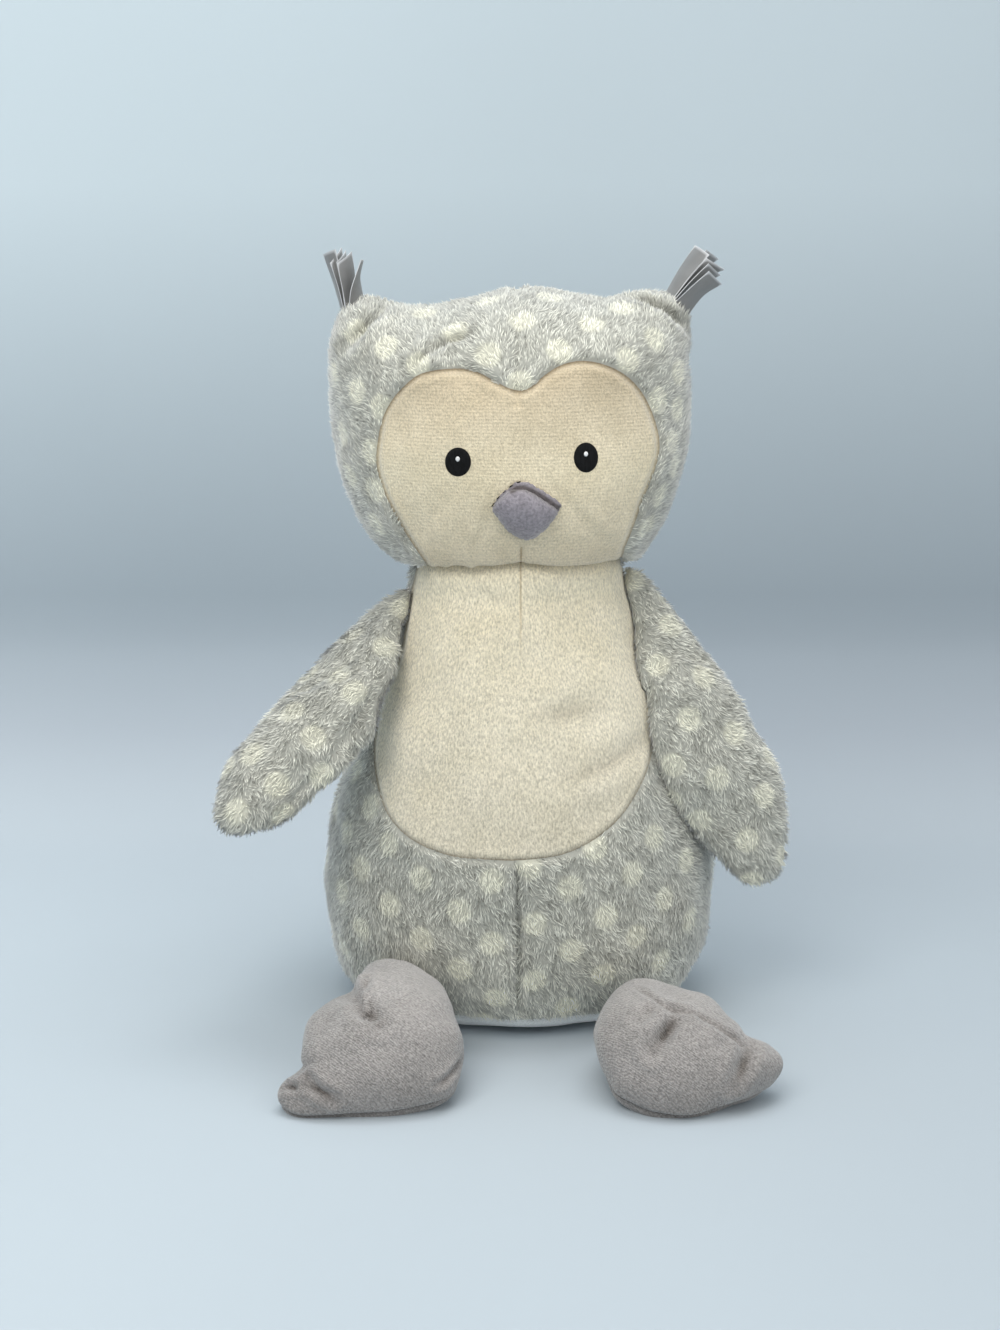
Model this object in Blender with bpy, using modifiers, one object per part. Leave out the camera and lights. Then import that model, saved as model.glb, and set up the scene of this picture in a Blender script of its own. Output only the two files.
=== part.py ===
"""A seated plush owl, sewn from fabric panels over fibre stuffing.

Metres, +Z up. The origin is the centre of the base on the floor, and the owl faces -Y.
Left and right are the owl's own, so its left side is at +X.
"""

import math

import bmesh
import bpy
from mathutils import Matrix, Vector

# Fabric and sewing
SKIN = 0.0020
FELT = 0.0010
SEAM_GAP = 0.0004
CLEARANCE = 0.0004
FLOOR_CUT = 0.0005
OVERRUN = 0.2

# Body
BODY_WIDTH = 0.163
BODY_DEPTH = 0.140
BODY_HEIGHT = 0.212
BASE_SEAM_HEIGHT = 0.007

# Neck: a ball of stuffing that the head sits on like a cap
NECK_SEAM_HEIGHT = 0.186
NECK_BALL_DROP = 0.026
NECK_BALL_RADIUS = 0.052
NECK_BALL_HEIGHT = NECK_SEAM_HEIGHT - NECK_BALL_DROP

# Belly panel, seen from the front. Lower shares are of its half width and of the fall from its widest to its
# bottom, and upper ones of its narrowing to the neck and of the rise to the neck seam.
BELLY_WIDTH = 0.108
BELLY_BOTTOM_HEIGHT = 0.078
BELLY_WIDEST_HEIGHT = 0.122
BELLY_NECK_WIDTH = 0.080
BELLY_LOWER_SHARES = ((0.32, 0.97), (0.72, 0.76), (0.96, 0.34), (1.00, 0.00))
BELLY_UPPER_SHARES = ((0.50, 0.42), (1.00, 0.92), (1.11, 1.50))

# Head
HEAD_WIDTH = 0.144
HEAD_ASIDE = -0.003
HEAD_DEPTH = 0.114
HEAD_HEIGHT = 0.123
HEAD_BOTTOM_HEIGHT = 0.175
HEAD_NOD_CLEARANCE = 0.0042
EAR_RISE = 0.018
EAR_REACH = 0.006
EAR_SPREAD = 0.018
EAR_X = 0.066
EAR_Z = 0.290

# Face panel, seen from the front. Lower shares are of its half width and of the fall from its widest to its
# bottom, upper ones of its half width and the rise to its top, and notch ones of its half width and depth.
FACE_WIDTH = 0.107
FACE_TOP_HEIGHT = 0.271
FACE_NOTCH_DEPTH = 0.010
FACE_WIDEST_HEIGHT = 0.240
FACE_BOTTOM_HEIGHT = 0.194
FACE_LOWER_SHARES = ((0.66, 1.20), (0.72, 0.90), (0.90, 0.50), (1.00, 0.00))
FACE_UPPER_SHARES = ((0.90, 0.60), (0.70, 0.90), (0.44, 1.00))
FACE_NOTCH_SHARES = ((0.18, 0.45), (0.00, 1.00))
FACE_FRONT_SHARE = 0.98

# Eyes
EYE_SPACING = 0.048
EYE_HEIGHT = 0.2355
EYE_WIDTH = 0.0104
EYE_TALL = 0.0118
EYE_RELIEF = 0.0008
HIGHLIGHT_WIDTH = 0.0018
HIGHLIGHT_RELIEF = 0.0005

# Beak
BEAK_WIDTH = 0.0300
BEAK_TALL = 0.0255
BEAK_REACH = 0.0085
BEAK_THICKNESS = 0.0272
BEAK_HEIGHT = 0.2180
BEAK_OFFSET = 0.0020
BEAK_SEAM_RISE = 0.0030

# Wings
LEFT_WING_LENGTH = 0.139
RIGHT_WING_LENGTH = 0.128
WING_WIDTH = 0.050
WING_THICKNESS = 0.026
SHOULDER_SPACING = 0.095
SHOULDER_HEIGHT = 0.175
SHOULDER_FORWARD = 0.024
LEFT_WING_LIFT = math.radians(23)
RIGHT_WING_LIFT = math.radians(36)
WING_TOE_IN = math.radians(18)
LEFT_WING_SWING = math.radians(3)
RIGHT_WING_SWING = math.radians(30)
LEFT_WING_LIMITS = (math.radians(0), math.radians(40))
RIGHT_WING_LIMITS = (math.radians(-14), math.radians(26))

# Feet
FOOT_REACH = 0.0315
FOOT_THICKNESS = 0.038
LEFT_FOOT_ASIDE = 0.062
RIGHT_FOOT_ASIDE = 0.055
FOOT_LEAN = math.radians(45)
FOOT_FORWARD = 0.100
FOOT_HEEL_SHARE = 2.0
HEEL_SEAM_FORWARD = 0.012
LEFT_FOOT_TURN = math.radians(-20)
RIGHT_FOOT_TURN = math.radians(0)
FOOT_LIMITS = (math.radians(-50), math.radians(5))

# Pellet bag at the base
PELLET_BAG_WIDTH = 0.104
PELLET_BAG_HEIGHT = 0.034
PELLET_BAG_FABRIC = 0.0010
PELLET_BAG_MOUTH = 0.012

# Ribbon tufts
RIBBON_WIDTH = 0.010
RIBBON_LENGTH = 0.028
RIBBON_ROOT = 0.004
RIBBON_THICKNESS = 0.0004
RIBBON_PITCH = 0.0010
RIBBON_COUNT = 5
RIBBON_FAN = math.radians(5)
RIBBON_ROLL = math.radians(5)
LEFT_TUFT_LEAN = math.radians(40)
RIGHT_TUFT_LEAN = math.radians(14)
LEFT_TUFT_YAW = math.radians(12)
RIGHT_TUFT_YAW = math.radians(-68)
TUFT_LIMITS = (math.radians(-15), math.radians(15))

# Each ring of a form, from its bottom: height, half width and half depth, as shares of the form's own sizes
BODY_RING_SHARES = (
    (0.000, 0.50, 0.50),
    (0.004, 0.74, 0.72),
    (0.060, 0.93, 0.90),
    (0.200, 1.01, 1.00),
    (0.340, 1.00, 1.01),
    (0.480, 0.90, 0.94),
    (0.620, 0.76, 0.82),
    (0.755, 0.635, 0.70),
    (0.880, 0.560, 0.62),
    (0.965, 0.34, 0.37),
)
HEAD_RING_SHARES = (
    (0.012, 0.38, 0.44),
    (0.050, 0.65, 0.74),
    (0.160, 0.80, 0.89),
    (0.320, 0.93, 0.99),
    (0.490, 1.01, 1.03),
    (0.660, 1.01, 1.00),
    (0.820, 0.97, 0.88),
    (0.920, 0.80, 0.66),
    (0.985, 0.40, 0.36),
)
# Each ring of a wing, from its root: place along it, half width, half thickness and shift to the outer side
WING_RING_SHARES = (
    (0.00, 0.32, 0.46, 0.00),
    (0.12, 0.54, 0.66, 0.02),
    (0.32, 0.82, 0.92, 0.05),
    (0.56, 0.98, 1.04, 0.06),
    (0.80, 0.90, 0.90, 0.02),
    (0.95, 0.58, 0.60, -0.01),
)
PELLET_BAG_RING_SHARES = (
    (0.00, 0.80),
    (0.40, 1.05),
    (0.90, 0.62),
)
# Toes, heel and notches of a foot: direction in degrees, extra share of its reach, and half spread in degrees
FOOT_LOBE_SHARES = (
    (62, 0.26, 38),
    (158, 0.05, 24),
    (210, 0.42, 17),
    (335, 0.18, 40),
    (112, -0.20, 13),
    (250, -0.06, 30),
)

RANGE_STEP = math.radians(10)
OUTLINE_STEPS = 3
COLUMNS = 12
BALL_COLUMNS = 40
BAG_COLUMNS = 8
WING_COLUMNS = 8
FOOT_COLUMNS = 16
FOOT_BANDS = 4
BEAK_COLUMNS = 12
BEAK_BANDS = 4
RIBBON_BANDS = 6
BEAK_CORNER = 1.25

SIDES = (("left", 1), ("right", -1))
ORIGIN = Vector((0, 0, 0))
NECK_PIVOT = Vector((0, 0, NECK_BALL_HEIGHT))


# Scene and object helpers
def clear_scene():
    for obj in list(bpy.data.objects):
        bpy.data.objects.remove(obj, do_unlink=True)


def new_collection(name):
    collection = bpy.data.collections.new(name)
    bpy.context.scene.collection.children.link(collection)
    return collection


def material(name, colour, roughness):
    made = bpy.data.materials.new(name)
    made.use_nodes = True
    surface = made.node_tree.nodes["Principled BSDF"]
    surface.inputs["Base Color"].default_value = (*colour, 1)
    surface.inputs["Roughness"].default_value = roughness
    surface.inputs["Metallic"].default_value = 0
    made.diffuse_color = (*colour, 1)
    return made


def new_object(name, mesh, home, surface=None, parent=None, origin=ORIGIN):
    made = bpy.data.objects.new(name, mesh)
    home.objects.link(made)
    if surface:
        mesh.materials.append(surface)
        mesh.shade_smooth()
    else:
        made.hide_render = True
        made.display_type = "WIRE"
    if parent:
        made.parent = parent
    else:
        made.location = origin
    return made


def new_pivot(name, home, place, rotation=(0, 0, 0)):
    pivot = bpy.data.objects.new(name, None)
    home.objects.link(pivot)
    pivot.empty_display_size = SKIN
    pivot.location = place
    pivot.rotation_euler = rotation
    return pivot


def mesh_of(name, shape):
    mesh = bpy.data.meshes.new(name)
    shape.to_mesh(mesh)
    shape.free()
    return mesh


# Modifiers
def subdivide(obj, levels=1):
    modifier = obj.modifiers.new("Subdivide", "SUBSURF")
    modifier.levels = levels
    modifier.render_levels = levels


def swell(obj, distance):
    modifier = obj.modifiers.new("Swell", "DISPLACE")
    modifier.direction = "NORMAL"
    modifier.mid_level = 0
    modifier.strength = distance


def thicken(obj, thickness, side=-1):
    modifier = obj.modifiers.new("Thickness", "SOLIDIFY")
    modifier.thickness = thickness
    modifier.offset = side


def cut(obj, cutter, operation="DIFFERENCE", solver="EXACT"):
    modifier = obj.modifiers.new(cutter.name, "BOOLEAN")
    modifier.operation = operation
    modifier.solver = solver
    modifier.object = cutter


def cut_clear(obj, swept):
    """Cuts a piece by forms that nearly coincide with one another."""
    for form in swept:
        cut(obj, form, solver="MANIFOLD")


# Form helpers
def fullness(columns):
    """How far a subdivided ring of this many points has to start out to end at its own size."""
    return 3 / (2 + math.cos(2 * math.pi / columns))


def ring_form(rings, columns, bottom, top):
    """A sphere reshaped ring by ring. Each ring holds its centre and its two half widths."""
    shape = bmesh.new()
    bands = len(rings) + 1
    bmesh.ops.create_uvsphere(shape, u_segments=columns, v_segments=bands, radius=1)
    out = fullness(columns)
    for point in shape.verts:
        ring = round((1 - math.acos(max(-1, min(1, point.co.z))) / math.pi) * bands)
        turn = math.atan2(point.co.y, point.co.x)
        if ring == 0:
            point.co = bottom
        elif ring == bands:
            point.co = top
        else:
            centre, half_width, half_depth = rings[ring - 1]
            point.co = centre + Vector(
                (out * half_width * math.cos(turn), out * half_depth * math.sin(turn), 0)
            )
    return shape


def pillow_form(reach_at, half_thickness, columns, bands):
    """A sphere flattened along Y, whose outline in XZ reaches as far as reach_at says at each angle."""
    shape = bmesh.new()
    bmesh.ops.create_uvsphere(shape, u_segments=columns, v_segments=bands, radius=1)
    out = fullness(columns)
    for point in shape.verts:
        angle = math.atan2(point.co.y, point.co.x)
        reach = out * reach_at(angle) * math.hypot(point.co.x, point.co.y)
        point.co = Vector(
            (reach * math.cos(angle), -half_thickness * point.co.z, reach * math.sin(angle))
        )
    bmesh.ops.recalc_face_normals(shape, faces=shape.faces)
    return shape


def box(name, low, high, home):
    shape = bmesh.new()
    bmesh.ops.create_cube(shape, size=1)
    low = Vector(low)
    high = Vector(high)
    for point in shape.verts:
        point.co = (low + high) / 2 + Vector(a * b for a, b in zip(point.co, high - low))
    return new_object(name, mesh_of(name, shape), home)


def smooth_loop(points, grow):
    """A closed curve through the points of an outline, each moved outward by grow."""
    count = len(points)
    moved = []
    for index, point in enumerate(points):
        ahead = Vector(points[(index + 1) % count])
        behind = Vector(points[index - 1])
        along = (ahead - behind).normalized()
        moved.append(Vector(point) + grow * Vector((along.y, -along.x)))
    return moved


def prism(name, points, front, back, home, grow=0.0):
    """An outline in XZ, anticlockwise seen from -Y, carried from y = front to y = back."""
    curve = bpy.data.curves.new(name, "CURVE")
    curve.dimensions = "2D"
    curve.fill_mode = "BOTH"
    curve.extrude = (back - front) / 2
    curve.resolution_u = OUTLINE_STEPS
    spline = curve.splines.new("BEZIER")
    moved = smooth_loop(points, grow)
    spline.bezier_points.add(len(moved) - 1)
    for knot, place in zip(spline.bezier_points, moved):
        knot.co = (place.x, place.y, 0)
        knot.handle_left_type = "AUTO"
        knot.handle_right_type = "AUTO"
    spline.use_cyclic_u = True
    drawn = bpy.data.objects.new(name, curve)
    home.objects.link(drawn)
    bpy.context.view_layer.update()
    graph = bpy.context.evaluated_depsgraph_get()
    mesh = bpy.data.meshes.new_from_object(drawn.evaluated_get(graph))
    bpy.data.objects.remove(drawn)
    shape = bmesh.new()
    shape.from_mesh(mesh)
    bmesh.ops.remove_doubles(shape, verts=shape.verts, dist=SEAM_GAP / 100)
    middle = Vector((0, (front + back) / 2, 0))
    bmesh.ops.rotate(shape, verts=shape.verts, matrix=Matrix.Rotation(math.pi / 2, 3, "X"))
    bmesh.ops.translate(shape, verts=shape.verts, vec=middle)
    bmesh.ops.recalc_face_normals(shape, faces=shape.faces)
    return new_object(name, mesh_of(name, shape), home)


def ball(name, centre, radius, home, surface=None, around=False):
    """A ball whose corners lie on the radius or, with around, whose flats all lie outside it."""
    shape = bmesh.new()
    if around:
        radius /= math.cos(math.pi / BALL_COLUMNS) ** 2
    bmesh.ops.create_uvsphere(
        shape, u_segments=BALL_COLUMNS, v_segments=BALL_COLUMNS // 2, radius=radius
    )
    return new_object(name, mesh_of(name, shape), home, surface, origin=centre)


def rod(name, place, radii, length, home):
    """An upright ellipse in XZ carried along Y."""
    shape = bmesh.new()
    bmesh.ops.create_cone(
        shape, cap_ends=True, segments=2 * COLUMNS, radius1=1, radius2=1, depth=length
    )
    bmesh.ops.rotate(shape, verts=shape.verts, matrix=Matrix.Rotation(math.pi / 2, 3, "X"))
    for point in shape.verts:
        point.co.x *= radii[0]
        point.co.z *= radii[1]
    return new_object(name, mesh_of(name, shape), home, origin=place)


def quarter_regions(name, bottom, top, home):
    """The four upright quarters of a cover, a seam gap apart."""
    regions = {}
    for side, sign in SIDES:
        for place, facing in (("front", -1), ("back", 1)):
            ends_x = sorted((sign * SEAM_GAP / 2, sign * OVERRUN))
            ends_y = sorted((facing * SEAM_GAP / 2, facing * OVERRUN))
            quarter = f"{name}_{place}_{side}"
            low = (ends_x[0], ends_y[0], bottom)
            high = (ends_x[1], ends_y[1], top)
            regions[quarter] = box(f"{quarter}_region", low, high, home)
    return regions


def half_region(name, facing, home):
    """The half in front of or behind a limb's side seam, half a seam gap from it."""
    ends_y = sorted((facing * SEAM_GAP / 2, facing * OVERRUN))
    low = (-OVERRUN, ends_y[0], -OVERRUN)
    high = (OVERRUN, ends_y[1], OVERRUN)
    return box(f"{name}_region", low, high, home)


def swept_cutters(name, larger, hinge, axis, limits, home):
    """The larger forms as a limb meets them through its whole range, turned back about its hinge."""
    low, high = limits
    steps = math.ceil((high - low) / RANGE_STEP)
    swept = []
    for form in larger:
        for index in range(steps + 1):
            angle = low + (high - low) * index / steps
            turned = form.copy()
            turned.name = f"{name}_{form.name}_{index}"
            home.objects.link(turned)
            turn = Matrix.Rotation(-angle, 4, axis)
            there = Matrix.Translation(form.location - hinge)
            turned.matrix_world = Matrix.Translation(hinge) @ turn @ there
            swept.append(turned)
    return swept


# Body
def body_cage():
    rings = []
    lowest = Vector((0, 0, -FLOOR_CUT))
    rise = BODY_HEIGHT + FLOOR_CUT
    for height, width, depth in BODY_RING_SHARES:
        centre = lowest + Vector((0, 0, height * rise))
        rings.append((centre, width * BODY_WIDTH / 2, depth * BODY_DEPTH / 2))
    return ring_form(rings, COLUMNS, lowest, lowest + Vector((0, 0, rise)))


def mirrored(points):
    """An outline's right half, from its bottom, with the left half after it."""
    return points + [(-x, z) for x, z in reversed(points) if x]


def belly_outline():
    half = BELLY_WIDTH / 2
    fall = BELLY_WIDEST_HEIGHT - BELLY_BOTTOM_HEIGHT
    rise = NECK_SEAM_HEIGHT - BELLY_WIDEST_HEIGHT
    narrowing = (BELLY_WIDTH - BELLY_NECK_WIDTH) / 2
    points = [(out * half, BELLY_WIDEST_HEIGHT - down * fall) for out, down in BELLY_LOWER_SHARES]
    for inward, up in BELLY_UPPER_SHARES:
        points.append((half - inward * narrowing, BELLY_WIDEST_HEIGHT + up * rise))
    return mirrored(points)


def make_body(parts, cutters, surfaces):
    cage = body_cage()
    cage_mesh = mesh_of("body_cage", cage)
    swollen = new_object("body_swollen", cage_mesh.copy(), cutters)
    subdivide(swollen)
    swell(swollen, CLEARANCE)

    collar = box(
        "neck_collar",
        (-OVERRUN, -OVERRUN, NECK_BALL_HEIGHT),
        (OVERRUN, OVERRUN, BODY_HEIGHT + OVERRUN),
        cutters,
    )
    neck_ball = ball("neck_ball", NECK_PIVOT, NECK_BALL_RADIUS, cutters)
    cut(collar, neck_ball)
    above = box(
        "above_neck_seam",
        (-OVERRUN, -OVERRUN, NECK_SEAM_HEIGHT - SEAM_GAP / 2),
        (OVERRUN, OVERRUN, BODY_HEIGHT + OVERRUN),
        cutters,
    )
    below = box(
        "below_neck_seam",
        (-OVERRUN, -OVERRUN, -OVERRUN),
        (OVERRUN, OVERRUN, NECK_SEAM_HEIGHT + SEAM_GAP / 2),
        cutters,
    )
    floor = box("floor", (-OVERRUN, -OVERRUN, -OVERRUN), (OVERRUN, OVERRUN, 0), cutters)
    belly = prism("belly_region", belly_outline(), -OVERRUN, 0, cutters)
    belly_hole = prism("belly_hole", belly_outline(), -OVERRUN, 0, cutters, SEAM_GAP)

    def skin(name, surface):
        panel = new_object(name, cage_mesh.copy(), parts, surfaces[surface])
        subdivide(panel)
        thicken(panel, SKIN)
        return panel

    belly_panel = skin("belly_panel", "cream")
    cut(belly_panel, belly, "INTERSECT")
    cut(belly_panel, collar)
    cut(belly_panel, above)

    base = box(
        "base_region",
        (-OVERRUN, -OVERRUN, 0),
        (OVERRUN, OVERRUN, BASE_SEAM_HEIGHT - SEAM_GAP / 2),
        cutters,
    )
    base_panel = skin("base_panel", "base")
    cut(base_panel, base, "INTERSECT")

    seam_low = BASE_SEAM_HEIGHT + SEAM_GAP / 2
    seam_high = NECK_SEAM_HEIGHT - SEAM_GAP / 2
    for name, region in quarter_regions("body", seam_low, seam_high, cutters).items():
        panel = skin(f"{name}_panel", "grey")
        cut(panel, region, "INTERSECT")
        if "front" in name:
            cut(panel, belly_hole)
        cut(panel, collar)

    stuffing = new_object("body_stuffing", cage_mesh.copy(), parts, surfaces["fibre"])
    subdivide(stuffing)
    swell(stuffing, -SKIN - CLEARANCE)
    cut(stuffing, collar)
    cut(stuffing, above)
    cut(stuffing, make_pellet_bag(parts, cutters, surfaces))
    neck = ball("neck_stuffing", NECK_PIVOT, NECK_BALL_RADIUS, parts, surfaces["fibre"])
    cut(neck, below)
    return swollen, floor


def pellet_bag_cage(bottom, half_width):
    rings = []
    for height, width in PELLET_BAG_RING_SHARES:
        centre = bottom + Vector((0, 0, height * PELLET_BAG_HEIGHT))
        deep = width * half_width * BODY_DEPTH / BODY_WIDTH
        rings.append((centre, width * half_width, deep))
    return ring_form(rings, BAG_COLUMNS, bottom, bottom + Vector((0, 0, PELLET_BAG_HEIGHT)))


def make_pellet_bag(parts, cutters, surfaces):
    """The bag and its pellets, and the pocket in the stuffing that holds them."""
    bottom = Vector((0, 0, SKIN - FLOOR_CUT + CLEARANCE))
    cage = mesh_of("pellet_bag_cage", pellet_bag_cage(bottom, PELLET_BAG_WIDTH / 2))
    mouth = box(
        "pellet_bag_mouth",
        (-PELLET_BAG_MOUTH / 2, -PELLET_BAG_MOUTH / 2, PELLET_BAG_HEIGHT / 2),
        (PELLET_BAG_MOUTH / 2, PELLET_BAG_MOUTH / 2, BODY_HEIGHT),
        cutters,
    )
    bag = new_object("pellet_bag", cage.copy(), parts, surfaces["bag"])
    subdivide(bag)
    thicken(bag, PELLET_BAG_FABRIC)
    cut(bag, mouth)
    fill = new_object("pellet_fill", cage.copy(), parts, surfaces["pellets"])
    subdivide(fill)
    swell(fill, -PELLET_BAG_FABRIC - CLEARANCE)
    pocket = new_object("pellet_pocket", cage.copy(), cutters)
    subdivide(pocket)
    swell(pocket, 2 * CLEARANCE)
    return pocket


# Head
def head_cage():
    rings = []
    bottom = Vector((0, 0, HEAD_BOTTOM_HEIGHT - NECK_BALL_HEIGHT))
    for height, width, depth in HEAD_RING_SHARES:
        centre = bottom + Vector((0, 0, height * HEAD_HEIGHT))
        rings.append((centre, width * HEAD_WIDTH / 2, depth * HEAD_DEPTH / 2))
    shape = ring_form(rings, COLUMNS, bottom, bottom + Vector((0, 0, HEAD_HEIGHT)))
    for point in shape.verts:
        for side in (-1, 1):
            ear = Vector((side * EAR_X, 0, EAR_Z - NECK_BALL_HEIGHT))
            nearness = math.exp(-(((point.co - ear).length / EAR_SPREAD) ** 2))
            point.co += nearness * Vector((side * EAR_REACH, 0, EAR_RISE))
    bmesh.ops.translate(shape, verts=shape.verts, vec=(HEAD_ASIDE, 0, 0))
    return shape


def face_outline():
    half = FACE_WIDTH / 2
    fall = FACE_WIDEST_HEIGHT - FACE_BOTTOM_HEIGHT
    rise = FACE_TOP_HEIGHT - FACE_WIDEST_HEIGHT
    points = [(out * half, FACE_WIDEST_HEIGHT - down * fall) for out, down in FACE_LOWER_SHARES]
    for out, up in FACE_UPPER_SHARES:
        points.append((out * half, FACE_WIDEST_HEIGHT + up * rise))
    for out, down in FACE_NOTCH_SHARES:
        points.append((out * half, FACE_TOP_HEIGHT - down * FACE_NOTCH_DEPTH))
    return mirrored(points)


def make_head(parts, cutters, surfaces, pivot):
    cage_mesh = mesh_of("head_cage", head_cage())
    swollen = new_object("head_swollen", cage_mesh.copy(), cutters, origin=NECK_PIVOT)
    subdivide(swollen)
    swell(swollen, CLEARANCE)
    socket_radius = NECK_BALL_RADIUS + CLEARANCE
    socket = ball("head_socket", NECK_PIVOT, socket_radius, cutters, around=True)
    face = prism("face_region", face_outline(), -OVERRUN, 0, cutters)
    face_hole = prism("face_hole", face_outline(), -OVERRUN, 0, cutters, SEAM_GAP)

    def skin(name, surface):
        panel = new_object(name, cage_mesh.copy(), parts, surfaces[surface], pivot)
        subdivide(panel)
        thicken(panel, SKIN)
        return panel

    face_panel = skin("face_panel", "beige")
    cut(face_panel, face, "INTERSECT")
    cut(face_panel, socket)
    top = HEAD_BOTTOM_HEIGHT + OVERRUN
    for name, region in quarter_regions("head", 0, top, cutters).items():
        panel = skin(f"{name}_panel", "grey")
        cut(panel, region, "INTERSECT")
        if "front" in name:
            cut(panel, face_hole)
        cut(panel, socket)
    stuffing = new_object(
        "head_stuffing", cage_mesh.copy(), parts, surfaces["fibre"], pivot
    )
    subdivide(stuffing)
    swell(stuffing, -SKIN - CLEARANCE)
    cut(stuffing, socket)

    def patch(name, surface, out, relief, width, tall, side):
        piece = new_object(name, cage_mesh.copy(), parts, surfaces[surface], pivot)
        subdivide(piece)
        swell(piece, out)
        thicken(piece, relief, 1)
        place = (side * EYE_SPACING / 2, -HEAD_DEPTH / 2, EYE_HEIGHT)
        region = rod(name + "_region", place, (width / 2, tall / 2), HEAD_DEPTH / 2, cutters)
        cut(piece, region, "INTERSECT")

    for side, sign in SIDES:
        patch(f"{side}_eye", "black", CLEARANCE, EYE_RELIEF, EYE_WIDTH, EYE_TALL, sign)
        patch(
            f"{side}_eye_highlight",
            "white",
            2 * CLEARANCE + EYE_RELIEF,
            HIGHLIGHT_RELIEF,
            HIGHLIGHT_WIDTH,
            HIGHLIGHT_WIDTH,
            sign,
        )
    nodding = new_object("head_nodding", cage_mesh.copy(), cutters, origin=NECK_PIVOT)
    subdivide(nodding)
    swell(nodding, HEAD_NOD_CLEARANCE)
    return swollen, nodding


def make_beak(parts, cutters, surfaces, pivot, head_swollen):
    def reach_at(angle):
        across = abs(math.cos(angle) / (BEAK_WIDTH / 2)) ** BEAK_CORNER
        upright = abs(math.sin(angle) / (BEAK_TALL / 2)) ** BEAK_CORNER
        return (across + upright) ** (-1 / BEAK_CORNER)

    shape = pillow_form(reach_at, BEAK_THICKNESS / 2, BEAK_COLUMNS, BEAK_BANDS)
    face_front = -FACE_FRONT_SHARE * HEAD_DEPTH / 2
    forward = face_front - BEAK_REACH + BEAK_THICKNESS / 2
    centre = Vector((BEAK_OFFSET, forward, BEAK_HEIGHT - NECK_BALL_HEIGHT))
    bmesh.ops.translate(shape, verts=shape.verts, vec=centre)
    mesh = mesh_of("beak_cage", shape)
    seam_height = BEAK_HEIGHT + BEAK_SEAM_RISE
    heights = {
        "lower": (0, seam_height - SEAM_GAP / 2),
        "upper": (seam_height + SEAM_GAP / 2, seam_height + OVERRUN),
    }
    for place, (bottom, top) in heights.items():
        panel = new_object(f"beak_{place}_panel", mesh.copy(), parts, surfaces["felt"], pivot)
        subdivide(panel)
        thicken(panel, FELT)
        low = (-OVERRUN, -OVERRUN, bottom)
        high = (OVERRUN, OVERRUN, top)
        cut(panel, box(f"beak_{place}_region", low, high, cutters), "INTERSECT")
        cut(panel, head_swollen)
    stuffing = new_object("beak_stuffing", mesh.copy(), parts, surfaces["fibre"], pivot)
    subdivide(stuffing)
    swell(stuffing, -FELT - CLEARANCE)
    cut(stuffing, head_swollen)


# Wings
def wing_cage(side, length):
    rings = []
    for place, width, thick, shift in WING_RING_SHARES:
        root = WING_WIDTH / 2 * WING_RING_SHARES[0][1]
        centre = Vector((side * shift * WING_WIDTH, 0, root / 2 - place * length))
        rings.append((centre, width * WING_WIDTH / 2, thick * WING_THICKNESS / 2))
    rings.reverse()
    root_end = Vector((0, 0, WING_WIDTH / 2 * WING_RING_SHARES[0][1]))
    tip_end = rings[0][0] + Vector((0, 0, -(1 - WING_RING_SHARES[-1][0]) * length))
    return ring_form(rings, WING_COLUMNS, tip_end, root_end)


def make_wing(name, side, length, lift, swing, limits, parts, cutters, surfaces, larger):
    place = Vector((side * SHOULDER_SPACING / 2, -SHOULDER_FORWARD, SHOULDER_HEIGHT))
    opened = tuple(-side * limit for limit in limits)
    swept = swept_cutters(name, larger, place, "Y", sorted(opened), cutters)
    turn = Matrix.Rotation(side * -lift, 3, "Y")
    turn = Matrix.Rotation(swing, 3, "X").transposed() @ turn
    turn = turn @ Matrix.Rotation(side * WING_TOE_IN, 3, "Z")
    pivot = new_pivot(f"{name}_pivot", parts, place, turn.to_euler())
    mesh = mesh_of(f"{name}_cage", wing_cage(side, length))
    for face, facing in (("front", -1), ("back", 1)):
        half = f"{name}_{face}"
        panel = new_object(f"{half}_panel", mesh.copy(), parts, surfaces["grey"], pivot)
        subdivide(panel)
        thicken(panel, SKIN)
        region = half_region(half, facing, cutters)
        region.parent = pivot
        cut(panel, region, "INTERSECT")
        cut_clear(panel, swept)
    stuffing = new_object(
        f"{name}_stuffing", mesh.copy(), parts, surfaces["fibre"], pivot
    )
    subdivide(stuffing)
    swell(stuffing, -SKIN - CLEARANCE)
    cut_clear(stuffing, swept)


# Feet
def foot_reach(angle):
    """How far the outline reaches at an angle: a round pad with toes, a heel and the notches between."""
    reach = 1.0
    for direction, extra, spread in FOOT_LOBE_SHARES:
        away = math.degrees(angle) - direction
        away = (away + 180) % 360 - 180
        reach += extra * math.exp(-((away / spread) ** 2))
    return reach * FOOT_REACH


def foot_cage(name, side, turn):
    shape = pillow_form(foot_reach, FOOT_THICKNESS / 2, FOOT_COLUMNS, FOOT_BANDS)
    if side > 0:
        bmesh.ops.scale(shape, verts=shape.verts, vec=(-1, 1, 1))
        bmesh.ops.reverse_faces(shape, faces=shape.faces)
    bmesh.ops.rotate(shape, verts=shape.verts, matrix=Matrix.Rotation(side * -turn, 3, "Y"))
    bmesh.ops.rotate(shape, verts=shape.verts, matrix=Matrix.Rotation(-FOOT_LEAN, 3, "X"))
    heel = [point for point in shape.verts if point.co.y > 0]
    bmesh.ops.scale(shape, verts=heel, vec=(1, FOOT_HEEL_SHARE, 1))
    return mesh_of(f"{name}_cage", shape)


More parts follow.
